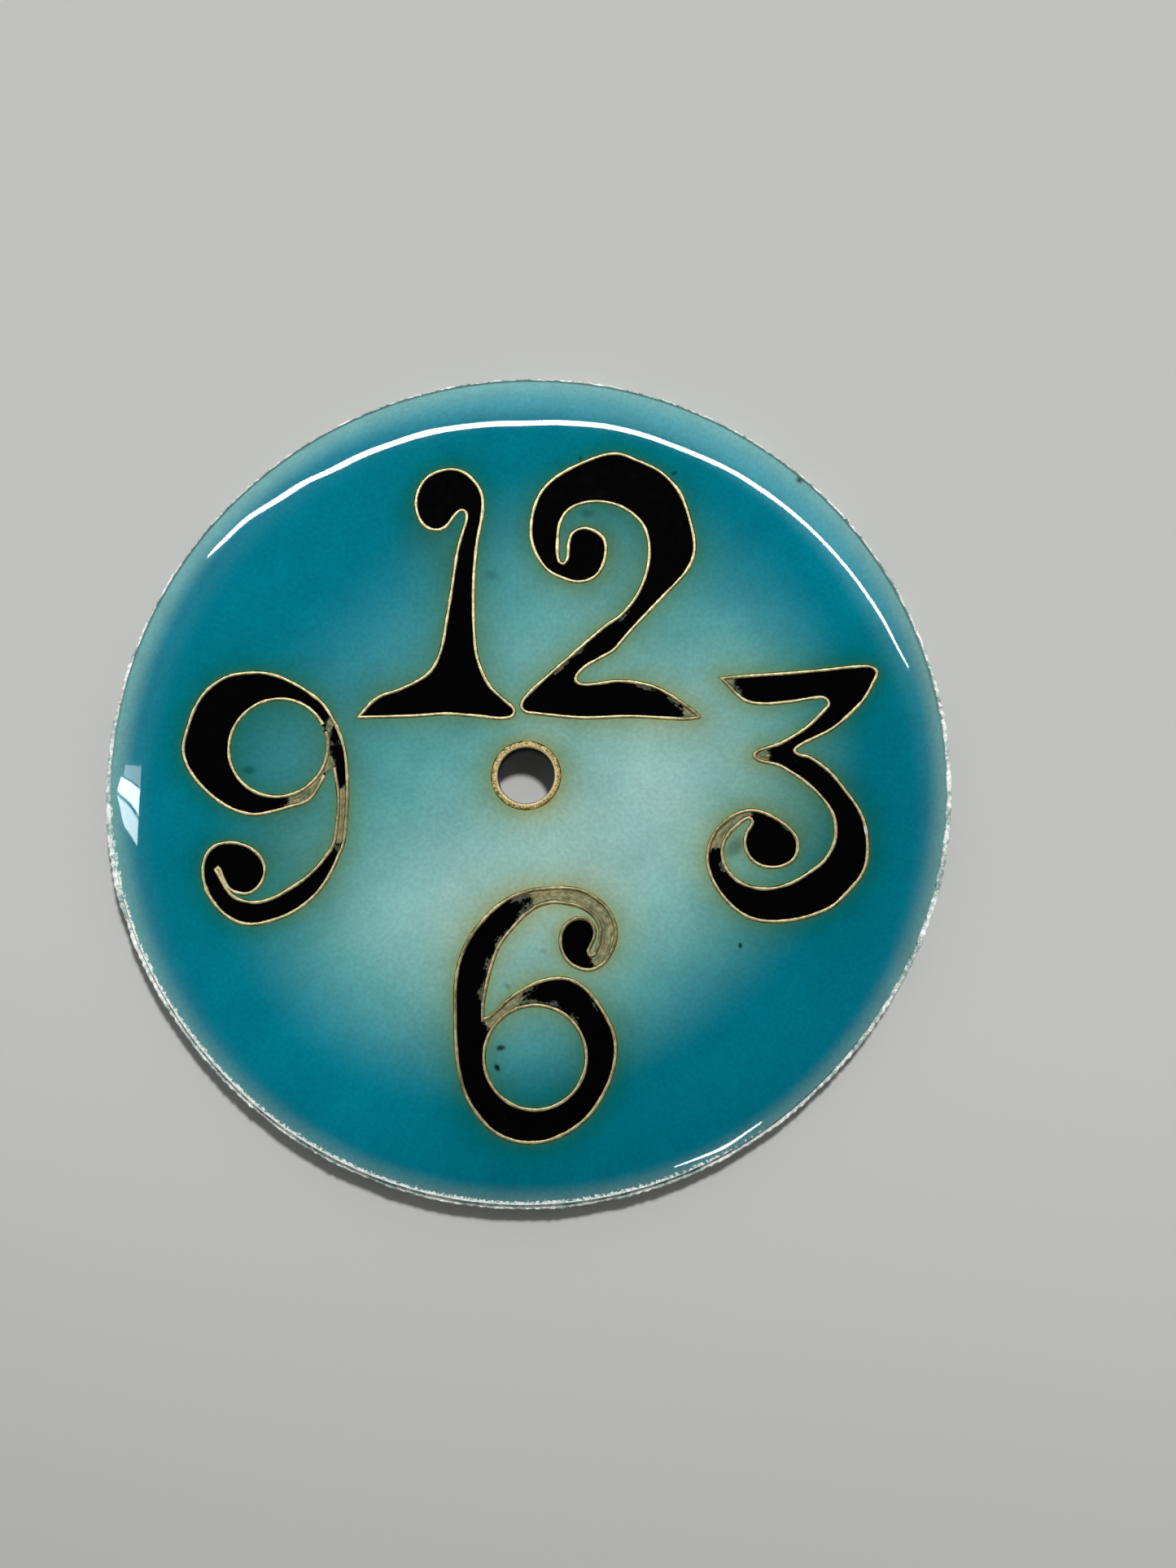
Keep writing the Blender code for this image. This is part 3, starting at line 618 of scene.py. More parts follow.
def ground_tint(places, far):
    """The blown shading: pale and cloudy in the middle, deep blue-green, then paler at the rim,
    partly painted reflection and light along the top and on the upper left.

    The glass is darker in a thin line at its edge on the side of the 12, and gold stains the glass
    beside it.
    """
    x, y = places[:, 0], places[:, 1]
    radius = np.hypot(x, y)
    azimuth = np.arctan2(y, x)
    raised = np.exp(-(((azimuth - TOP_RISE) / 0.6) ** 2))
    reach = PALE_REACH + 0.85 * np.cos(2 * (azimuth - BULGE_LEAN))
    reach += 0.6 * np.cos(azimuth - PALE_LEAN)
    reach += 1.1 * raised
    forward = x * math.cos(PALE_LEAN) + y * math.sin(PALE_LEAN)
    level = PALE_LEVEL + 0.099 * np.tanh(forward / 2.2) + 0.045 * raised
    level *= 1 + 0.045 * ripple(places, 2.6, 11) + 0.025 * ripple(places, 1.1, 12)
    pale = (level * (1 - smoothstep(reach - PALE_FADE, reach, radius)))[:, None]
    lower_right = smoothstep(0.25, 0.8, np.cos(azimuth + math.radians(45)))
    dim = 1 - 0.18 * lower_right * smoothstep(6, 12, radius)
    tint = DEEP * dim[:, None] + pale * PALE_STEP / (1 + pale * PALE_BEND)
    tint *= (1 + 0.03 * ripple(places, 3.5, 13))[:, None]
    # Along the top the outer band is partly the glass thinning over the silver and partly a painted
    # reflection of the bright room, with painted light from above
    thin_and_sheen_band = smoothstep(0.1, 0.75, np.sin(azimuth)) * (0.65 + 0.5 * np.cos(azimuth - math.radians(50)))
    late = 0.8 * smoothstep(0, 0.8, -np.cos(azimuth))
    thin_and_sheen_band = (thin_and_sheen_band * smoothstep(*TOP_THIN_AND_SHEEN_SPAN, radius - late))[:, None]
    tint = tint * (1 - thin_and_sheen_band) + TOP_THIN_AND_SHEEN_BAND * thin_and_sheen_band
    # The pale edge band is thin glass over the silver; on the upper left it is painted lighter, as
    # painted light falling from that side
    sunny = smoothstep(-0.9, 0.5, np.cos(azimuth - math.radians(135)))[:, None]
    edge = smoothstep(*EDGE_SPAN, radius - 0.1 * np.cos(azimuth))[:, None]
    tint = tint * (1 - edge) + (EDGE_DIM * (1 - sunny) + EDGE_PAINTED_LIT * sunny) * edge
    gold = np.minimum(far, radius - RING_RADIUS).clip(0, None)
    for stained, loss in STAINS:
        tint *= 1 - np.exp(-gold / stained)[:, None] * loss
    tint += np.exp(-gold / 0.11)[:, None] * HALO_GOLD
    fumed = closeness(places, FUMED)[:, None]
    tint = tint * (1 - fumed * (0, 0.08, 0.22)) + fumed * (0.012, 0, 0)
    past = radius - FIELD_RADIUS - spread(azimuth)
    # Darker in a thin line along the glass's edge on the side of the 12
    top_edge_dark = smoothstep(*TOP_EDGE_DARK_SPAN, past) * topness(azimuth)
    tint *= (1 - 0.7 * top_edge_dark)[:, None]
    for sx, sy, size, strength, direction in SPECKS:
        lean = math.radians(direction)
        along = (x - sx) * math.cos(lean) + (y - sy) * math.sin(lean)
        aside = (y - sy) * math.cos(lean) - (x - sx) * math.sin(lean)
        near = np.exp(-(((along**2 + (SPECK_SLIMNESS * aside) ** 2) / size**2) ** 2))
        tint *= (1 - strength * near)[:, None]
    return tint.clip(0, 1)


# ---- Materials ----

def set_range(node, *limits):
    """Fills in a Map Range node's From Min, From Max, To Min and To Max."""
    for key, number in zip(node.inputs.keys()[1:5], limits):
        node.inputs[key].default_value = number


def rgb(*values):
    return (*values, 1.0)


class Finish:
    """One Principled material and short calls for the nodes that feed it."""

    def __init__(self, name, **settings):
        self.material = bpy.data.materials.new(name)
        self.material.use_nodes = True
        self.tree = self.material.node_tree
        self.shader = self.tree.nodes["Principled BSDF"]
        for key, value in settings.items():
            self.shader.inputs[key.replace("_", " ")].default_value = value
        self.place = self.node("ShaderNodeTexCoord").outputs["Object"]

    def node(self, kind, **settings):
        made = self.tree.nodes.new(kind)
        for key, value in settings.items():
            setattr(made, key, value)
        return made

    def link(self, source, target):
        if hasattr(source, "is_output"):
            self.tree.links.new(source, target)
        else:
            target.default_value = source

    def attribute(self, name, output="Fac"):
        return self.node("ShaderNodeAttribute", attribute_name=name).outputs[output]

    def noise(self, size, detail=3.0, roughness=0.6, distortion=0.0, place=None):
        """A noise between 0 and 1; its features have a size in millimetres, or in place's unit."""
        made = self.node("ShaderNodeTexNoise")
        self.link(place or self.place, made.inputs["Vector"])
        made.inputs["Scale"].default_value = 1 / size if place else 1 / (size * MM)
        made.inputs["Detail"].default_value = detail
        made.inputs["Roughness"].default_value = roughness
        made.inputs["Distortion"].default_value = distortion
        return made.outputs["Fac"]

    def math(self, operation, first, second):
        made = self.node("ShaderNodeMath", operation=operation)
        self.link(first, made.inputs[0])
        self.link(second, made.inputs[1])
        return made.outputs[0]

    def span(self, value, low, high, to_low=0.0, to_high=1.0):
        made = self.node("ShaderNodeMapRange", interpolation_type="SMOOTHSTEP")
        set_range(made, low, high, to_low, to_high)
        self.link(value, made.inputs["Value"])
        return made.outputs["Result"]

    def mix(self, share, first, second, blend="MIX"):
        # A Mix node's colour sockets come after those for its other data types
        made = self.node("ShaderNodeMix", data_type="RGBA", blend_type=blend)
        self.link(share, made.inputs[0])
        self.link(first, made.inputs[6])
        self.link(second, made.inputs[7])
        return made.outputs[2]

    def bump(self, height, depth):
        made = self.node("ShaderNodeBump")
        made.inputs["Distance"].default_value = depth * MM
        self.link(height, made.inputs["Height"])
        self.link(made.outputs["Normal"], self.shader.inputs["Normal"])

    def colour(self, source):
        self.link(source, self.shader.inputs["Base Color"])

    def roughness(self, size, detail, low, high):
        """Roughness that wanders between two values over patches of a size."""
        patches = self.span(self.noise(size, detail), 0.3, 0.7, low, high)
        self.link(patches, self.shader.inputs["Roughness"])


def ground_finish():
    """Tinted glass; where it runs thin at the edge, the silver frosts through in flecks, partly
    painted light, with near-white flecks painted as glints.
    """
    made = Finish("fired_ground", IOR=1.52)
    tint = made.attribute("tint", "Color")
    grain = made.span(made.noise(0.16, 2), 0.3, 0.7, 0.93, 1.07)
    cloud = made.span(made.noise(1.3, 4), 0.25, 0.75, 0.95, 1.05)
    shade = made.math("MULTIPLY", grain, cloud)
    glass = made.mix(1.0, tint, shade, "MULTIPLY")
    fleck = made.span(made.noise(0.13, 4, 0.75), 0.25, 0.75, -0.45, 0.45)
    frost = made.span(made.math("ADD", made.attribute("thin"), fleck), 0.45, 0.65)
    # Painted glints: near-white flecks in the frost
    glint_flecks = made.span(made.noise(0.11, 2), 0.35, 0.6)
    frost_and_glints = made.mix(glint_flecks, rgb(0.55, 0.72, 0.66), rgb(1.0, 1.0, 0.95))
    made.colour(made.mix(frost, glass, frost_and_glints))
    made.roughness(0.9, 2, 0.015, 0.04)
    made.bump(made.noise(1.6, 1), 0.0015)
    return made.material


def cell_finish(name, clear, gold):
    """Black enamel that breaks up into clear enamel with gold streaks where cover runs out."""
    made = Finish(name, IOR=1.52)
    cover = made.attribute("cover")
    flow = made.attribute("flow", "Vector")
    ragged = made.span(made.noise(1.6, 4, 0.7, 0.5, flow), 0.2, 0.8, -0.15, 0.15)
    chipped = made.span(made.noise(0.14, 4, 0.7), 0.2, 0.8, -0.12, 0.12)
    torn = made.math("ADD", cover, made.math("ADD", ragged, chipped))
    full = made.span(torn, -0.02, 0.03)
    dust = made.span(made.noise(0.12, 3), 0.62, 0.75, 0.0, 0.12)
    deep = made.mix(dust, rgb(0.0007, 0.0007, 0.001), rgb(0.02, 0.022, 0.024))
    streak = made.span(made.noise(1.0, 3, 0.6, 0.6, flow), 0.45, 0.6)
    bare = made.mix(streak, made.mix(0.2, clear, made.attribute("tint", "Color")), gold)
    shade = made.span(made.noise(0.2, 4, 0.7), 0.3, 0.7, 0.5, 1.2)
    bare = made.mix(1.0, bare, shade, "MULTIPLY")
    made.colour(made.mix(full, bare, deep))
    made.roughness(0.5, 2, 0.03, 0.08)
    made.bump(made.noise(1.1, 1), 0.001)
    return made.material


def gold_finish():
    """Drawn wire: a bright crown between darker flanks, dull where it lies under the glaze."""
    made = Finish("drawn_gold", Metallic=1.0, Specular_IOR_Level=0.5)
    across = made.attribute("across")
    mottle = made.span(made.noise(0.2, 3), 0.3, 0.7)
    core = made.mix(mottle, rgb(0.85, 0.77, 0.45), rgb(0.54, 0.47, 0.23))
    flank = made.mix(mottle, rgb(0.28, 0.21, 0.08), rgb(0.15, 0.11, 0.04))
    bright = made.mix(made.span(across, 0.35, 0.9), core, flank)
    dull = made.mix(mottle, rgb(0.38, 0.33, 0.17), rgb(0.16, 0.14, 0.06))
    tone = made.mix(made.attribute("sunk"), bright, dull)
    # Painted highlight: white where the glint spots are
    made.colour(made.mix(made.attribute("glint"), tone, rgb(1, 1, 1)))
    made.roughness(0.12, 3, 0.38, 0.58)
    made.bump(made.noise(0.08, 3), 0.005)
    return made.material


# Painted shade: near-black on the walls of the hole, deepening the shadow down the bore
PAINTED_BORE_SHADE = rgb(0.018, 0.016, 0.014)


def ring_finish():
    """The ring's worn gold, brighter on its bevel, with painted shade inside the hole."""
    made = Finish("ring_gold", Metallic=1.0)
    across = made.attribute("across")
    mottle = made.span(made.noise(0.07, 4, 0.75), 0.40, 0.60)
    body = made.mix(mottle, rgb(0.78, 0.61, 0.29), rgb(0.20, 0.14, 0.04))
    lit = made.mix(across, body, rgb(0.80, 0.67, 0.38))
    made.colour(made.mix(made.attribute("painted_bore_shade"), lit, PAINTED_BORE_SHADE))
    made.roughness(0.1, 3, 0.4, 0.65)
    made.bump(made.noise(0.06, 4), 0.03)
    return made.material


def silver_finish():
    """Filed silver in bright and dull patches, with a few warm glints and painted shade in the hole.
    """
    made = Finish("filed_silver", Metallic=0.2)
    patch = made.span(made.noise(0.9, 4, 0.75), 0.42, 0.58)
    mottle = made.span(made.noise(0.15, 4, 0.7), 0.35, 0.65)
    bright = made.mix(mottle, rgb(1.0, 1.0, 0.96), rgb(0.70, 0.80, 0.75))
    dull = made.mix(mottle, rgb(0.50, 0.62, 0.58), rgb(0.15, 0.27, 0.25))
    tone = made.mix(patch, bright, dull)
    warm = made.span(made.noise(0.33, 2), 0.62, 0.74, 0.0, 0.5)
    tone = made.mix(warm, tone, rgb(0.98, 0.88, 0.62))
    made.colour(made.mix(made.attribute("painted_bore_shade"), tone, PAINTED_BORE_SHADE))
    made.roughness(0.15, 3, 0.22, 0.5)
    made.bump(made.noise(0.2, 5, 0.7), 0.06)
    return made.material


def undercoat_finish():
    """Cloudy clear glass, seen only in the thin gap round the face."""
    made = Finish("undercoat_glass", IOR=1.52)
    cloud = made.span(made.noise(0.8, 4), 0.3, 0.7)
    made.colour(made.mix(cloud, rgb(0.55, 0.66, 0.62), rgb(0.68, 0.76, 0.72)))
    made.roughness(0.3, 2, 0.15, 0.3)
    return made.material


def back_finish():
    """Dark counter enamel, with pale flecks and small pits."""
    made = Finish("fired_back", IOR=1.52)
    cloud = made.span(made.noise(1.8, 5, 0.65, 0.4), 0.3, 0.7)
    tone = made.mix(cloud, rgb(0.05, 0.16, 0.20), rgb(0.13, 0.28, 0.30))
    fleck = made.span(made.noise(0.22, 2), 0.68, 0.76, 0.0, 0.8)
    tone = made.mix(fleck, tone, rgb(0.42, 0.52, 0.50))
    pit = made.span(made.noise(0.35, 2), 0.27, 0.33, 1.0, 0.0)
    made.colour(made.mix(pit, tone, rgb(0.02, 0.05, 0.07)))
    made.roughness(0.6, 3, 0.12, 0.3)
    made.bump(made.noise(0.45, 3), 0.01)
    return made.material


# ---- Enamel ----

# Millimetres of black on each side of a boundary, and by a wire with no bare strip
COVER_STEP = 0.02
COVER_REST = 0.3

# The glass stands a little lower away from the wires, and is never quite flat
GLASS_DIP = 0.006
DIP_REACH = 0.25
GLASS_WAVE = 0.0015

# The streaks in the torn black: their length and width
STREAK = (1.1, 0.065)


def cover_of(name, places, far):
    """How deep, in millimetres, a point lies in the black; clear cells have it negative."""
    near_edge = distances(EDGE_TREE, places)
    if not name.endswith("enamel"):
        return -near_edge - COVER_STEP
    bare = np.full(len(places), -COVER_REST)
    for x, y, reach, width in THIN_BLACK:
        near = np.exp(-(((places - (x, y)) ** 2).sum(axis=1) / reach**2))
        bare = np.maximum(bare, near * (width + COVER_REST) - COVER_REST)
    return np.minimum(near_edge + COVER_STEP, far - WIRE_WIDTH / 2 - bare)


def flow_of(places, far):
    """Where along and beside the wires each place is, so that streaks run with the wires."""
    along = np.array([WIRE_TREE.find((x, y, 0))[1] for x, y in places]) * WIRE_TRACE
    return np.column_stack([along / STREAK[0], far / STREAK[1], np.zeros(len(places))])


def slot_of(name):
    """The material slot of a cell, by its node's name."""
    if "ground" in name:
        return "ground_enamel"
    return "black_enamel" if name.endswith("enamel") else "clear_flux"


def fired_cell(name, places, triangles, finishes):
    """One enamel cell as a closed solid whose glassy top dips a little away from the wires."""
    used = np.unique(triangles)
    number = np.full(len(places), -1)
    number[used] = np.arange(len(used))
    flat = places[used]
    far = distances(WIRE_TREE, flat)
    radius = np.linalg.norm(flat, axis=1)
    dip = GLASS_DIP * (1 - np.exp(-(far - WIRE_WIDTH / 2) / DIP_REACH))
    dip += GLASS_WAVE * ripple(flat, 2.2, 21)
    top = np.column_stack([flat, face_height(radius) - dip])
    low = np.column_stack([flat, np.full(len(flat), CELL_BOTTOM)])
    corners = number[triangles]
    count = len(used)
    faces = (corners + count).tolist() + corners[:, ::-1].tolist()
    directed = np.concatenate([corners[:, [0, 1]], corners[:, [1, 2]], corners[:, [2, 0]]])
    pairs = set(map(tuple, directed.tolist()))
    faces += [(p, q, q + count, p + count) for p, q in pairs if (q, p) not in pairs]
    near = np.concatenate([far, far])
    both = np.concatenate([flat, flat])
    tint = ground_tint(both, near)
    slot = slot_of(name)
    if slot == "ground_enamel":
        values, flow = {"thin": thin_lit_edge(both)}, None
    else:
        values, flow = {"cover": cover_of(name, both, near)}, flow_of(both, near)
    add_piece("fired_" + name, np.vstack([low, top]), faces, finishes[slot], name,
              values, tint, flow)


def enamels():
    places, found = cells()
    finishes = {
        "ground_enamel": ground_finish(),
        "black_enamel": cell_finish("fired_black", rgb(0.035, 0.038, 0.045), rgb(0.14, 0.12, 0.06)),
        "clear_flux": cell_finish("fired_clear", rgb(0.11, 0.13, 0.075), rgb(0.36, 0.30, 0.14)),
    }
    for name, triangles in found.items():
        fired_cell(name, places, triangles, finishes)


# ---- Wires ----

# Share of half the width, and depth below the face, across the top of a wire; what lies deeper
# than CROWN_DEPTH is its foot
CROWN = [(1.0, 0.03), (0.95, 0.008), (0.72, -0.002), (0.4, -0.008), (0.0, -0.010)]
CROWN_DEPTH = 0.1
WIRE_SLIMNESS = 0.90

# The first end of an open wire is melted thicker: by what share, and over what length
BEAD_SHARE = 0.45
BEAD_LENGTH = 0.12


def drawn_wire(name, finish, seed):
    """A flat wire on edge, with a softly crowned top of slightly varying width."""
    even, closed = WIRES[name]
    section = [(-share, depth) for share, depth in CROWN]
    section += [(share, depth) for share, depth in CROWN[-2::-1]]
    section = [(-1.0, FACE - CELL_BOTTOM)] + section + [(1.0, FACE - CELL_BOTTOM)]
    uneven = 0.10 * ripple(even, 0.9, seed) + 0.08 * ripple(even, 0.25, seed + 1)
    half = WIRE_WIDTH / 2 * (WIRE_SLIMNESS + uneven)
    if not closed:
        run = np.arange(len(even)) * WIRE_STEP
        half = half * (1 + BEAD_SHARE * np.exp(-((run / BEAD_LENGTH) ** 2)))
    lift = 0.003 * ripple(even, 0.7, seed + 2)
    columns = [sideways(even, closed, half * share) for share, _ in section]
    stations, width = len(even), len(section)
    points = np.zeros((stations, width, 3))
    across = np.zeros((stations, width))
    for k, (share, depth) in enumerate(section):
        on_top = depth < CROWN_DEPTH
        points[:, k, :2] = columns[k]
        points[:, k, 2] = FACE - depth + (lift if on_top else 0)
        across[:, k] = abs(share) if on_top else 1
    faces = []
    for i in range(stations if closed else stations - 1):
        j = (i + 1) % stations
        for k in range(width):
            m = (k + 1) % width
            faces.append((i * width + k, i * width + m, j * width + m, j * width + k))
    if not closed:
        faces.append(tuple(range(width))[::-1])
        faces.append(tuple((stations - 1) * width + k for k in range(width)))
    points = points.reshape(-1, 3)
    sunk, glint = closeness(points[:, :2], SUNKEN), closeness(points[:, :2], PAINTED_GLINTS)
    add_piece("drawn_" + name, points, faces, finish, name,
              {"across": across.ravel(), "sunk": sunk, "glint": glint})


def wires():
    finish = gold_finish()
    for k, name in enumerate(WIRES):
        drawn_wire(name, finish, 40 + 5 * k)


# ---- Turned pieces ----

def centre_ring():
    """The gold ring, with a crowned top and a worn round edge towards the hole."""
    foot, top, edge = bottom_of("centre_ring"), RING_TOP, 0.08

    def profile(angle):
        out = 0.010 * around(angle, 71, 9) + 0.008 * around(angle, 72, 3)
        crown = 0.006 * around(angle, 73, 6)
        outer = RING_RADIUS + out - 0.02
        middle = (outer + HOLE_RADIUS) / 2 + 0.02
        return [
            (HOLE_RADIUS, foot), (outer, foot), (outer, top - 0.03),
            (outer - 0.03, top - 0.008 + crown), (middle, top - 0.004 + crown),
            (HOLE_RADIUS + edge, top), (HOLE_RADIUS + 0.6 * edge, top - 0.1 * edge),
            (HOLE_RADIUS + 0.25 * edge, top - 0.4 * edge), (HOLE_RADIUS, top - edge),
        ]

    points, faces = turned(profile, 9, RING_SIDES)
    bright = np.tile([0, 0, 0, 0, 0, 0.6, 1, 0.6, 0], RING_SIDES)
    # Painted shade on the ring's wall inside the hole
    painted_bore_shade = np.tile([1, 0, 0, 0, 0, 0, 0, 0.1, 1], RING_SIDES)
    add_piece("soldered_centre_ring", points, faces, ring_finish(), "centre_ring",
              {"across": bright, "painted_bore_shade": painted_bore_shade})


def silver_disc():
    """The disc, with its filed, burred edge and the lip that holds the enamel."""
    silver_top = LIP_TOP - LIP_HEIGHT
    inner = HOLE_RADIUS + 0.01

    def profile(angle):
        burr = abs(around(angle, 81, 0.6)) * 0.03 + max(0.0, around(angle, 82, 2.6)) * 0.025
        rough = 0.012 * around(angle, 83, 0.3) * (1 + around(angle, 85, 5))
        outer = DISC_RADIUS - 0.01 - burr - LOW_TRIM * lowness(angle)
        wall = FIELD_RADIUS + 0.01 + spread(angle) + 0.02 * around(angle, 84, 0.8)
        crest = LIP_TOP - 0.015 + 0.5 * rough
        return [
            (inner, SILVER_BOTTOM), (outer - 0.06, SILVER_BOTTOM), (outer, SILVER_BOTTOM + 0.05),
            (outer, silver_top - 0.05), (outer - 0.01 + 0.4 * rough, silver_top + 0.03),
            (outer - 0.05 + rough, crest), (wall + 0.04, crest + 0.4 * rough),
            (wall + 0.015, silver_top + 0.04), (wall, silver_top - 0.01), (inner, silver_top - 0.01),
        ]

    points, faces = turned(profile, 10, RIM_SIDES)
    # Painted shade on the disc's wall inside the hole
    painted_bore_shade = np.tile([0.6, 0, 0, 0, 0, 0, 0, 0, 0, 1], RIM_SIDES)
    add_piece("filed_silver_disc", points, faces, silver_finish(), "silver_disc",
              {"painted_bore_shade": painted_bore_shade})


def back_enamel():
    """The enamel on the back: pooled a little thinner near its edges, with an orange-peel skin."""
    outer, inner = BACK_RADIUS, HOLE_RADIUS + 0.15
    steps = 44
    rings = np.linspace(outer - 0.09, inner + 0.1, steps)

    def profile(angle):
        direction = np.array((math.cos(angle), math.sin(angle)))
        places = rings[:, None] * direction
        slump = 0.02 * smoothstep(0.5, 0.0, np.minimum(outer - rings, rings - inner))
        skin = 0.004 + slump + 0.002 * ripple(places, 0.9, 91) + 0.001 * ripple(places, 0.4, 92)
        wobble = 0.02 * around(angle, 93, 2.0)
        low = list(zip(rings, np.maximum(skin, 0.0)))[::-1]
        return low + [
            (outer - 0.03 + wobble, 0.06), (outer + wobble - 0.02, 0.12),
            (outer + wobble - 0.03, BACK_THICKNESS), (inner, BACK_THICKNESS), (inner, 0.1),
        ]

    points, faces = turned(profile, steps + 5, BACK_SIDES)
    add_piece("fired_back_enamel", points, faces, back_finish(), "back_enamel")


def undercoat():
    """The clear first layer, which fills the floor of the recess out to the lip."""
    low, high = bottom_of("undercoat_enamel"), top_of("undercoat_enamel")

    def profile(angle):
        outer = FIELD_RADIUS + spread(angle) - 0.01
        inner = RING_RADIUS + 0.01
        return [(inner, low), (outer, low), (outer, high), (inner, high)]

    points, faces = turned(profile, 4, RIM_SIDES // 4)
    add_piece("fired_undercoat", points, faces, undercoat_finish(), "undercoat_enamel")


# ---- Stage ----

CAMERA_PLACE = Vector((2.999, -7.273, 47.02 + FACE))
CAMERA_TURN = (8.404, 0.814, 0.120)
CAMERA_LENS = 29.24
SENSOR_WIDTH = 36.0
LIGHT_DISTANCE = 400.0
FLOOR_REACH = 600.0

# Where the lights' reflections lie on the curved edge of the face: x, y, width
LONG_LIGHT = [
    (-12.4, 8.55, 0.06), (-12, 9.0, 0.16), (-11, 10.0, 0.2), (-10, 10.73, 0.21), (-9, 11.33, 0.22),
    (-8, 11.86, 0.22), (-6, 12.82, 0.23), (-4, 13.52, 0.23), (-2, 13.83, 0.22), (0, 13.9, 0.2),
    (2, 13.87, 0.2), (4, 13.55, 0.19), (6, 12.8, 0.18), (8, 11.8, 0.17), (10, 10.4, 0.15),
    (12, 8.3, 0.12), (13.3, 6.4, 0.12), (14.4, 4.2, 0.05),
]
LOW_LIGHT = [(5.5, -14.15, 0.05), (7.2, -13.5, 0.12), (8.6, -12.6, 0.05)]
WINDOW_PANES = [
    [(-15.15, 0.6), (-14.5, 0.55), (-14.5, -0.45), (-15.2, 0.15)],
    [(-15.3, 0.1), (-14.5, -0.55), (-14.5, -1.5), (-15.45, -0.6)],
    [(-15.45, -0.75), (-14.5, -1.65), (-14.5, -2.7), (-15.05, -1.9)],
]
PANE_STRENGTHS = (6.0, 24.0, 15.0)
PANE_COLOUR = (0.85, 0.95, 1.0)
LONG_STRENGTH = 34.0
LOW_STRENGTH = 22.0
LAMP_STRIDE = 6

# The key light comes from beyond the 1 o'clock: azimuth, angle from straight up, breadth in degrees
KEY_AZIMUTH = 72.0
KEY_TILT = 40.0
KEY_BREADTH = 8.0
KEY_ENERGY = 3.3


def mirrored(x, y):
    """The point on the face at x, y and the direction that it reflects into the camera."""
    radius = math.hypot(x, y)
    step = 0.01
    slope = (face_height(radius - step) - face_height(radius + step)) / (2 * step)
    normal = Vector((slope * x / radius, slope * y / radius, 1)).normalized()
    point = Vector((x, y, float(face_height(radius))))
    back = (CAMERA_PLACE - point).normalized()
    return point, 2 * normal.dot(back) * normal - back


def lamp_place(x, y):
    """Where a lamp has to be so that its reflection lies at x, y on the face."""
    point, direction = mirrored(x, y)
    return point + direction * LIGHT_DISTANCE


def lamp_mesh(name, points, faces, strength, colour=(1, 1, 1)):
    """A glowing sheet that only shows in reflections."""
    mesh = bpy.data.meshes.new(name)
    mesh.from_pydata([p * MM for p in points], [], faces)
    glow = bpy.data.materials.new(name + "_glow")
    glow.use_nodes = True
    glow.node_tree.nodes.clear()
    emission = glow.node_tree.nodes.new("ShaderNodeEmission")
    output = glow.node_tree.nodes.new("ShaderNodeOutputMaterial")
    emission.inputs["Color"].default_value = rgb(*colour)
    emission.inputs["Strength"].default_value = strength
    glow.node_tree.links.new(emission.outputs[0], output.inputs["Surface"])
    mesh.materials.append(glow)
    made = placed(name, mesh)
    made.visible_camera = False
    made.visible_diffuse = False


def strip_light(name, spots, strength):
    """A bent strip light whose reflection runs along the spots."""
    smooth = smooth_curve([spot[:2] for spot in spots], False)
    width = [spot[2] for spot in spots]
    wide = np.interp(np.arange(len(smooth)) / SPAN_SAMPLES, np.arange(len(width)), width)
    left = sideways(smooth, False, wide / 2)[::LAMP_STRIDE]
    right = sideways(smooth, False, -wide / 2)[::LAMP_STRIDE]
    points = [lamp_place(*p) for p in left] + [lamp_place(*p) for p in right]
    count = len(left)
    faces = [(i, i + 1, count + i + 1, count + i) for i in range(count - 1)]
    lamp_mesh(name, points, faces, strength)


def lights():
    key = bpy.data.lights.new("key", "SUN")
    key.energy = KEY_ENERGY
    key.angle = math.radians(KEY_BREADTH)
    made = placed("key", key)
    made.rotation_euler = (0, math.radians(KEY_TILT), math.radians(KEY_AZIMUTH))
    made.visible_glossy = False
    strip_light("long_light", LONG_LIGHT, LONG_STRENGTH)
    strip_light("low_light", LOW_LIGHT, LOW_STRENGTH)
    for k, corners in enumerate(WINDOW_PANES):
        lamp_mesh(f"window_pane_{k}", [lamp_place(*p) for p in corners], [(0, 1, 2, 3)],
                  PANE_STRENGTHS[k], PANE_COLOUR)


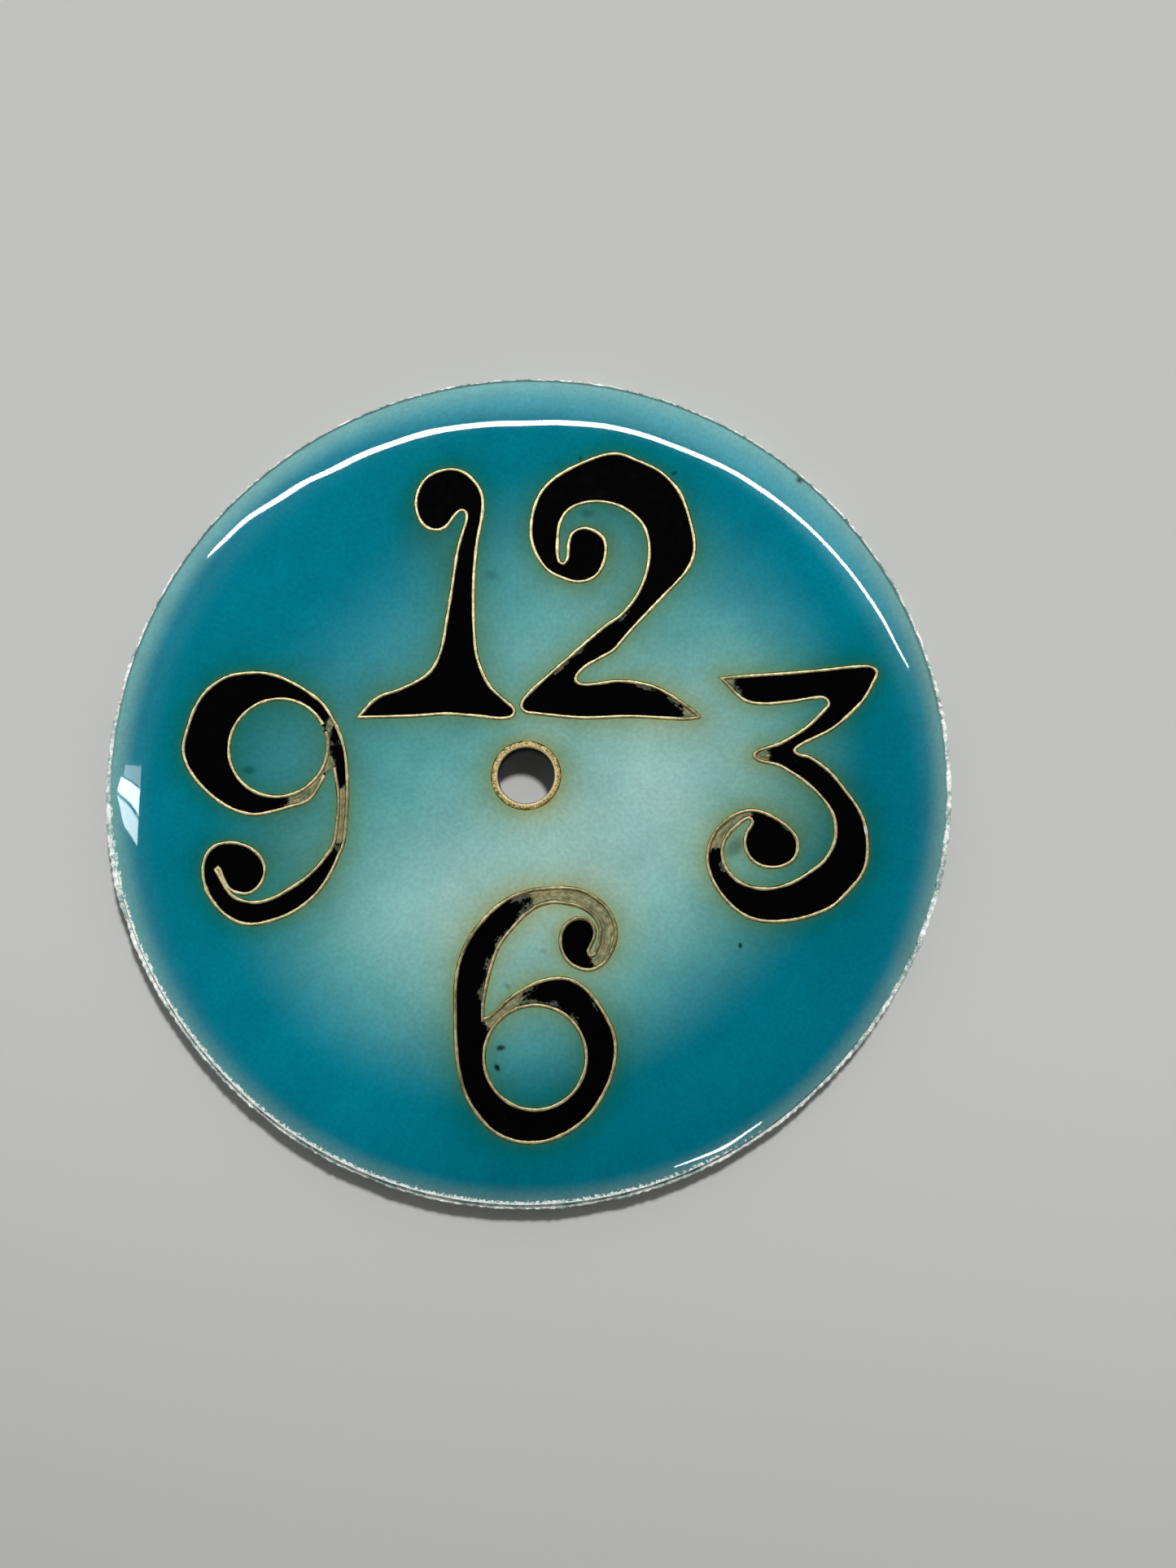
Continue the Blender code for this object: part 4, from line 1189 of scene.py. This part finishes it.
def room():
    """A room that is dark overhead and brighter towards the walls, most of all beyond the 12."""
    world = bpy.data.worlds.new("room")
    bpy.context.scene.world = world
    world.use_nodes = True
    nodes, links = world.node_tree.nodes, world.node_tree.links
    place = nodes.new("ShaderNodeTexCoord")
    parts = nodes.new("ShaderNodeSeparateXYZ")
    links.new(place.outputs["Generated"], parts.inputs[0])
    ramp = nodes.new("ShaderNodeValToRGB")
    ramp.color_ramp.interpolation = "EASE"
    stops = [(0.0, 0.8), (0.45, 0.65), (0.80, 0.3), (0.90, 0.015), (1.0, 0.01)]
    while len(ramp.color_ramp.elements) < len(stops):
        ramp.color_ramp.elements.new(0.5)
    for element, (place_on, level) in zip(ramp.color_ramp.elements, stops):
        element.position = place_on
        element.color = rgb(level, level, level)
    links.new(parts.outputs["Z"], ramp.inputs["Fac"])
    side = nodes.new("ShaderNodeMapRange")
    set_range(side, -0.6, 0.6, 0.5, 1.1)
    links.new(parts.outputs["Y"], side.inputs["Value"])
    background = nodes["Background"]
    links.new(ramp.outputs["Color"], background.inputs["Color"])
    links.new(side.outputs["Result"], background.inputs["Strength"])


def floor():
    """Plain pale paper."""
    mesh = bpy.data.meshes.new("floor")
    reach = FLOOR_REACH * MM
    corners = [(reach * x, reach * y, 0) for x, y in ((-1, -1), (1, -1), (1, 1), (-1, 1))]
    mesh.from_pydata(corners, [], [(0, 1, 2, 3)])
    paper = bpy.data.materials.new("pale_paper")
    paper.use_nodes = True
    shader = paper.node_tree.nodes["Principled BSDF"]
    shader.inputs["Base Color"].default_value = rgb(0.48, 0.485, 0.47)
    shader.inputs["Roughness"].default_value = 0.9
    shader.inputs["Specular IOR Level"].default_value = 0.1
    mesh.materials.append(paper)
    placed("floor", mesh)


def camera():
    data = bpy.data.cameras.new("camera")
    data.lens = CAMERA_LENS
    data.sensor_width = SENSOR_WIDTH
    data.clip_start = 0.001
    made = placed("camera", data)
    made.location = CAMERA_PLACE * MM
    made.rotation_euler = [math.radians(angle) for angle in CAMERA_TURN]
    bpy.context.scene.camera = made


bpy.context.scene.view_settings.view_transform = "Standard"
camera()
floor()
room()
lights()
back_enamel()
silver_disc()
undercoat()
centre_ring()
wires()
enamels()
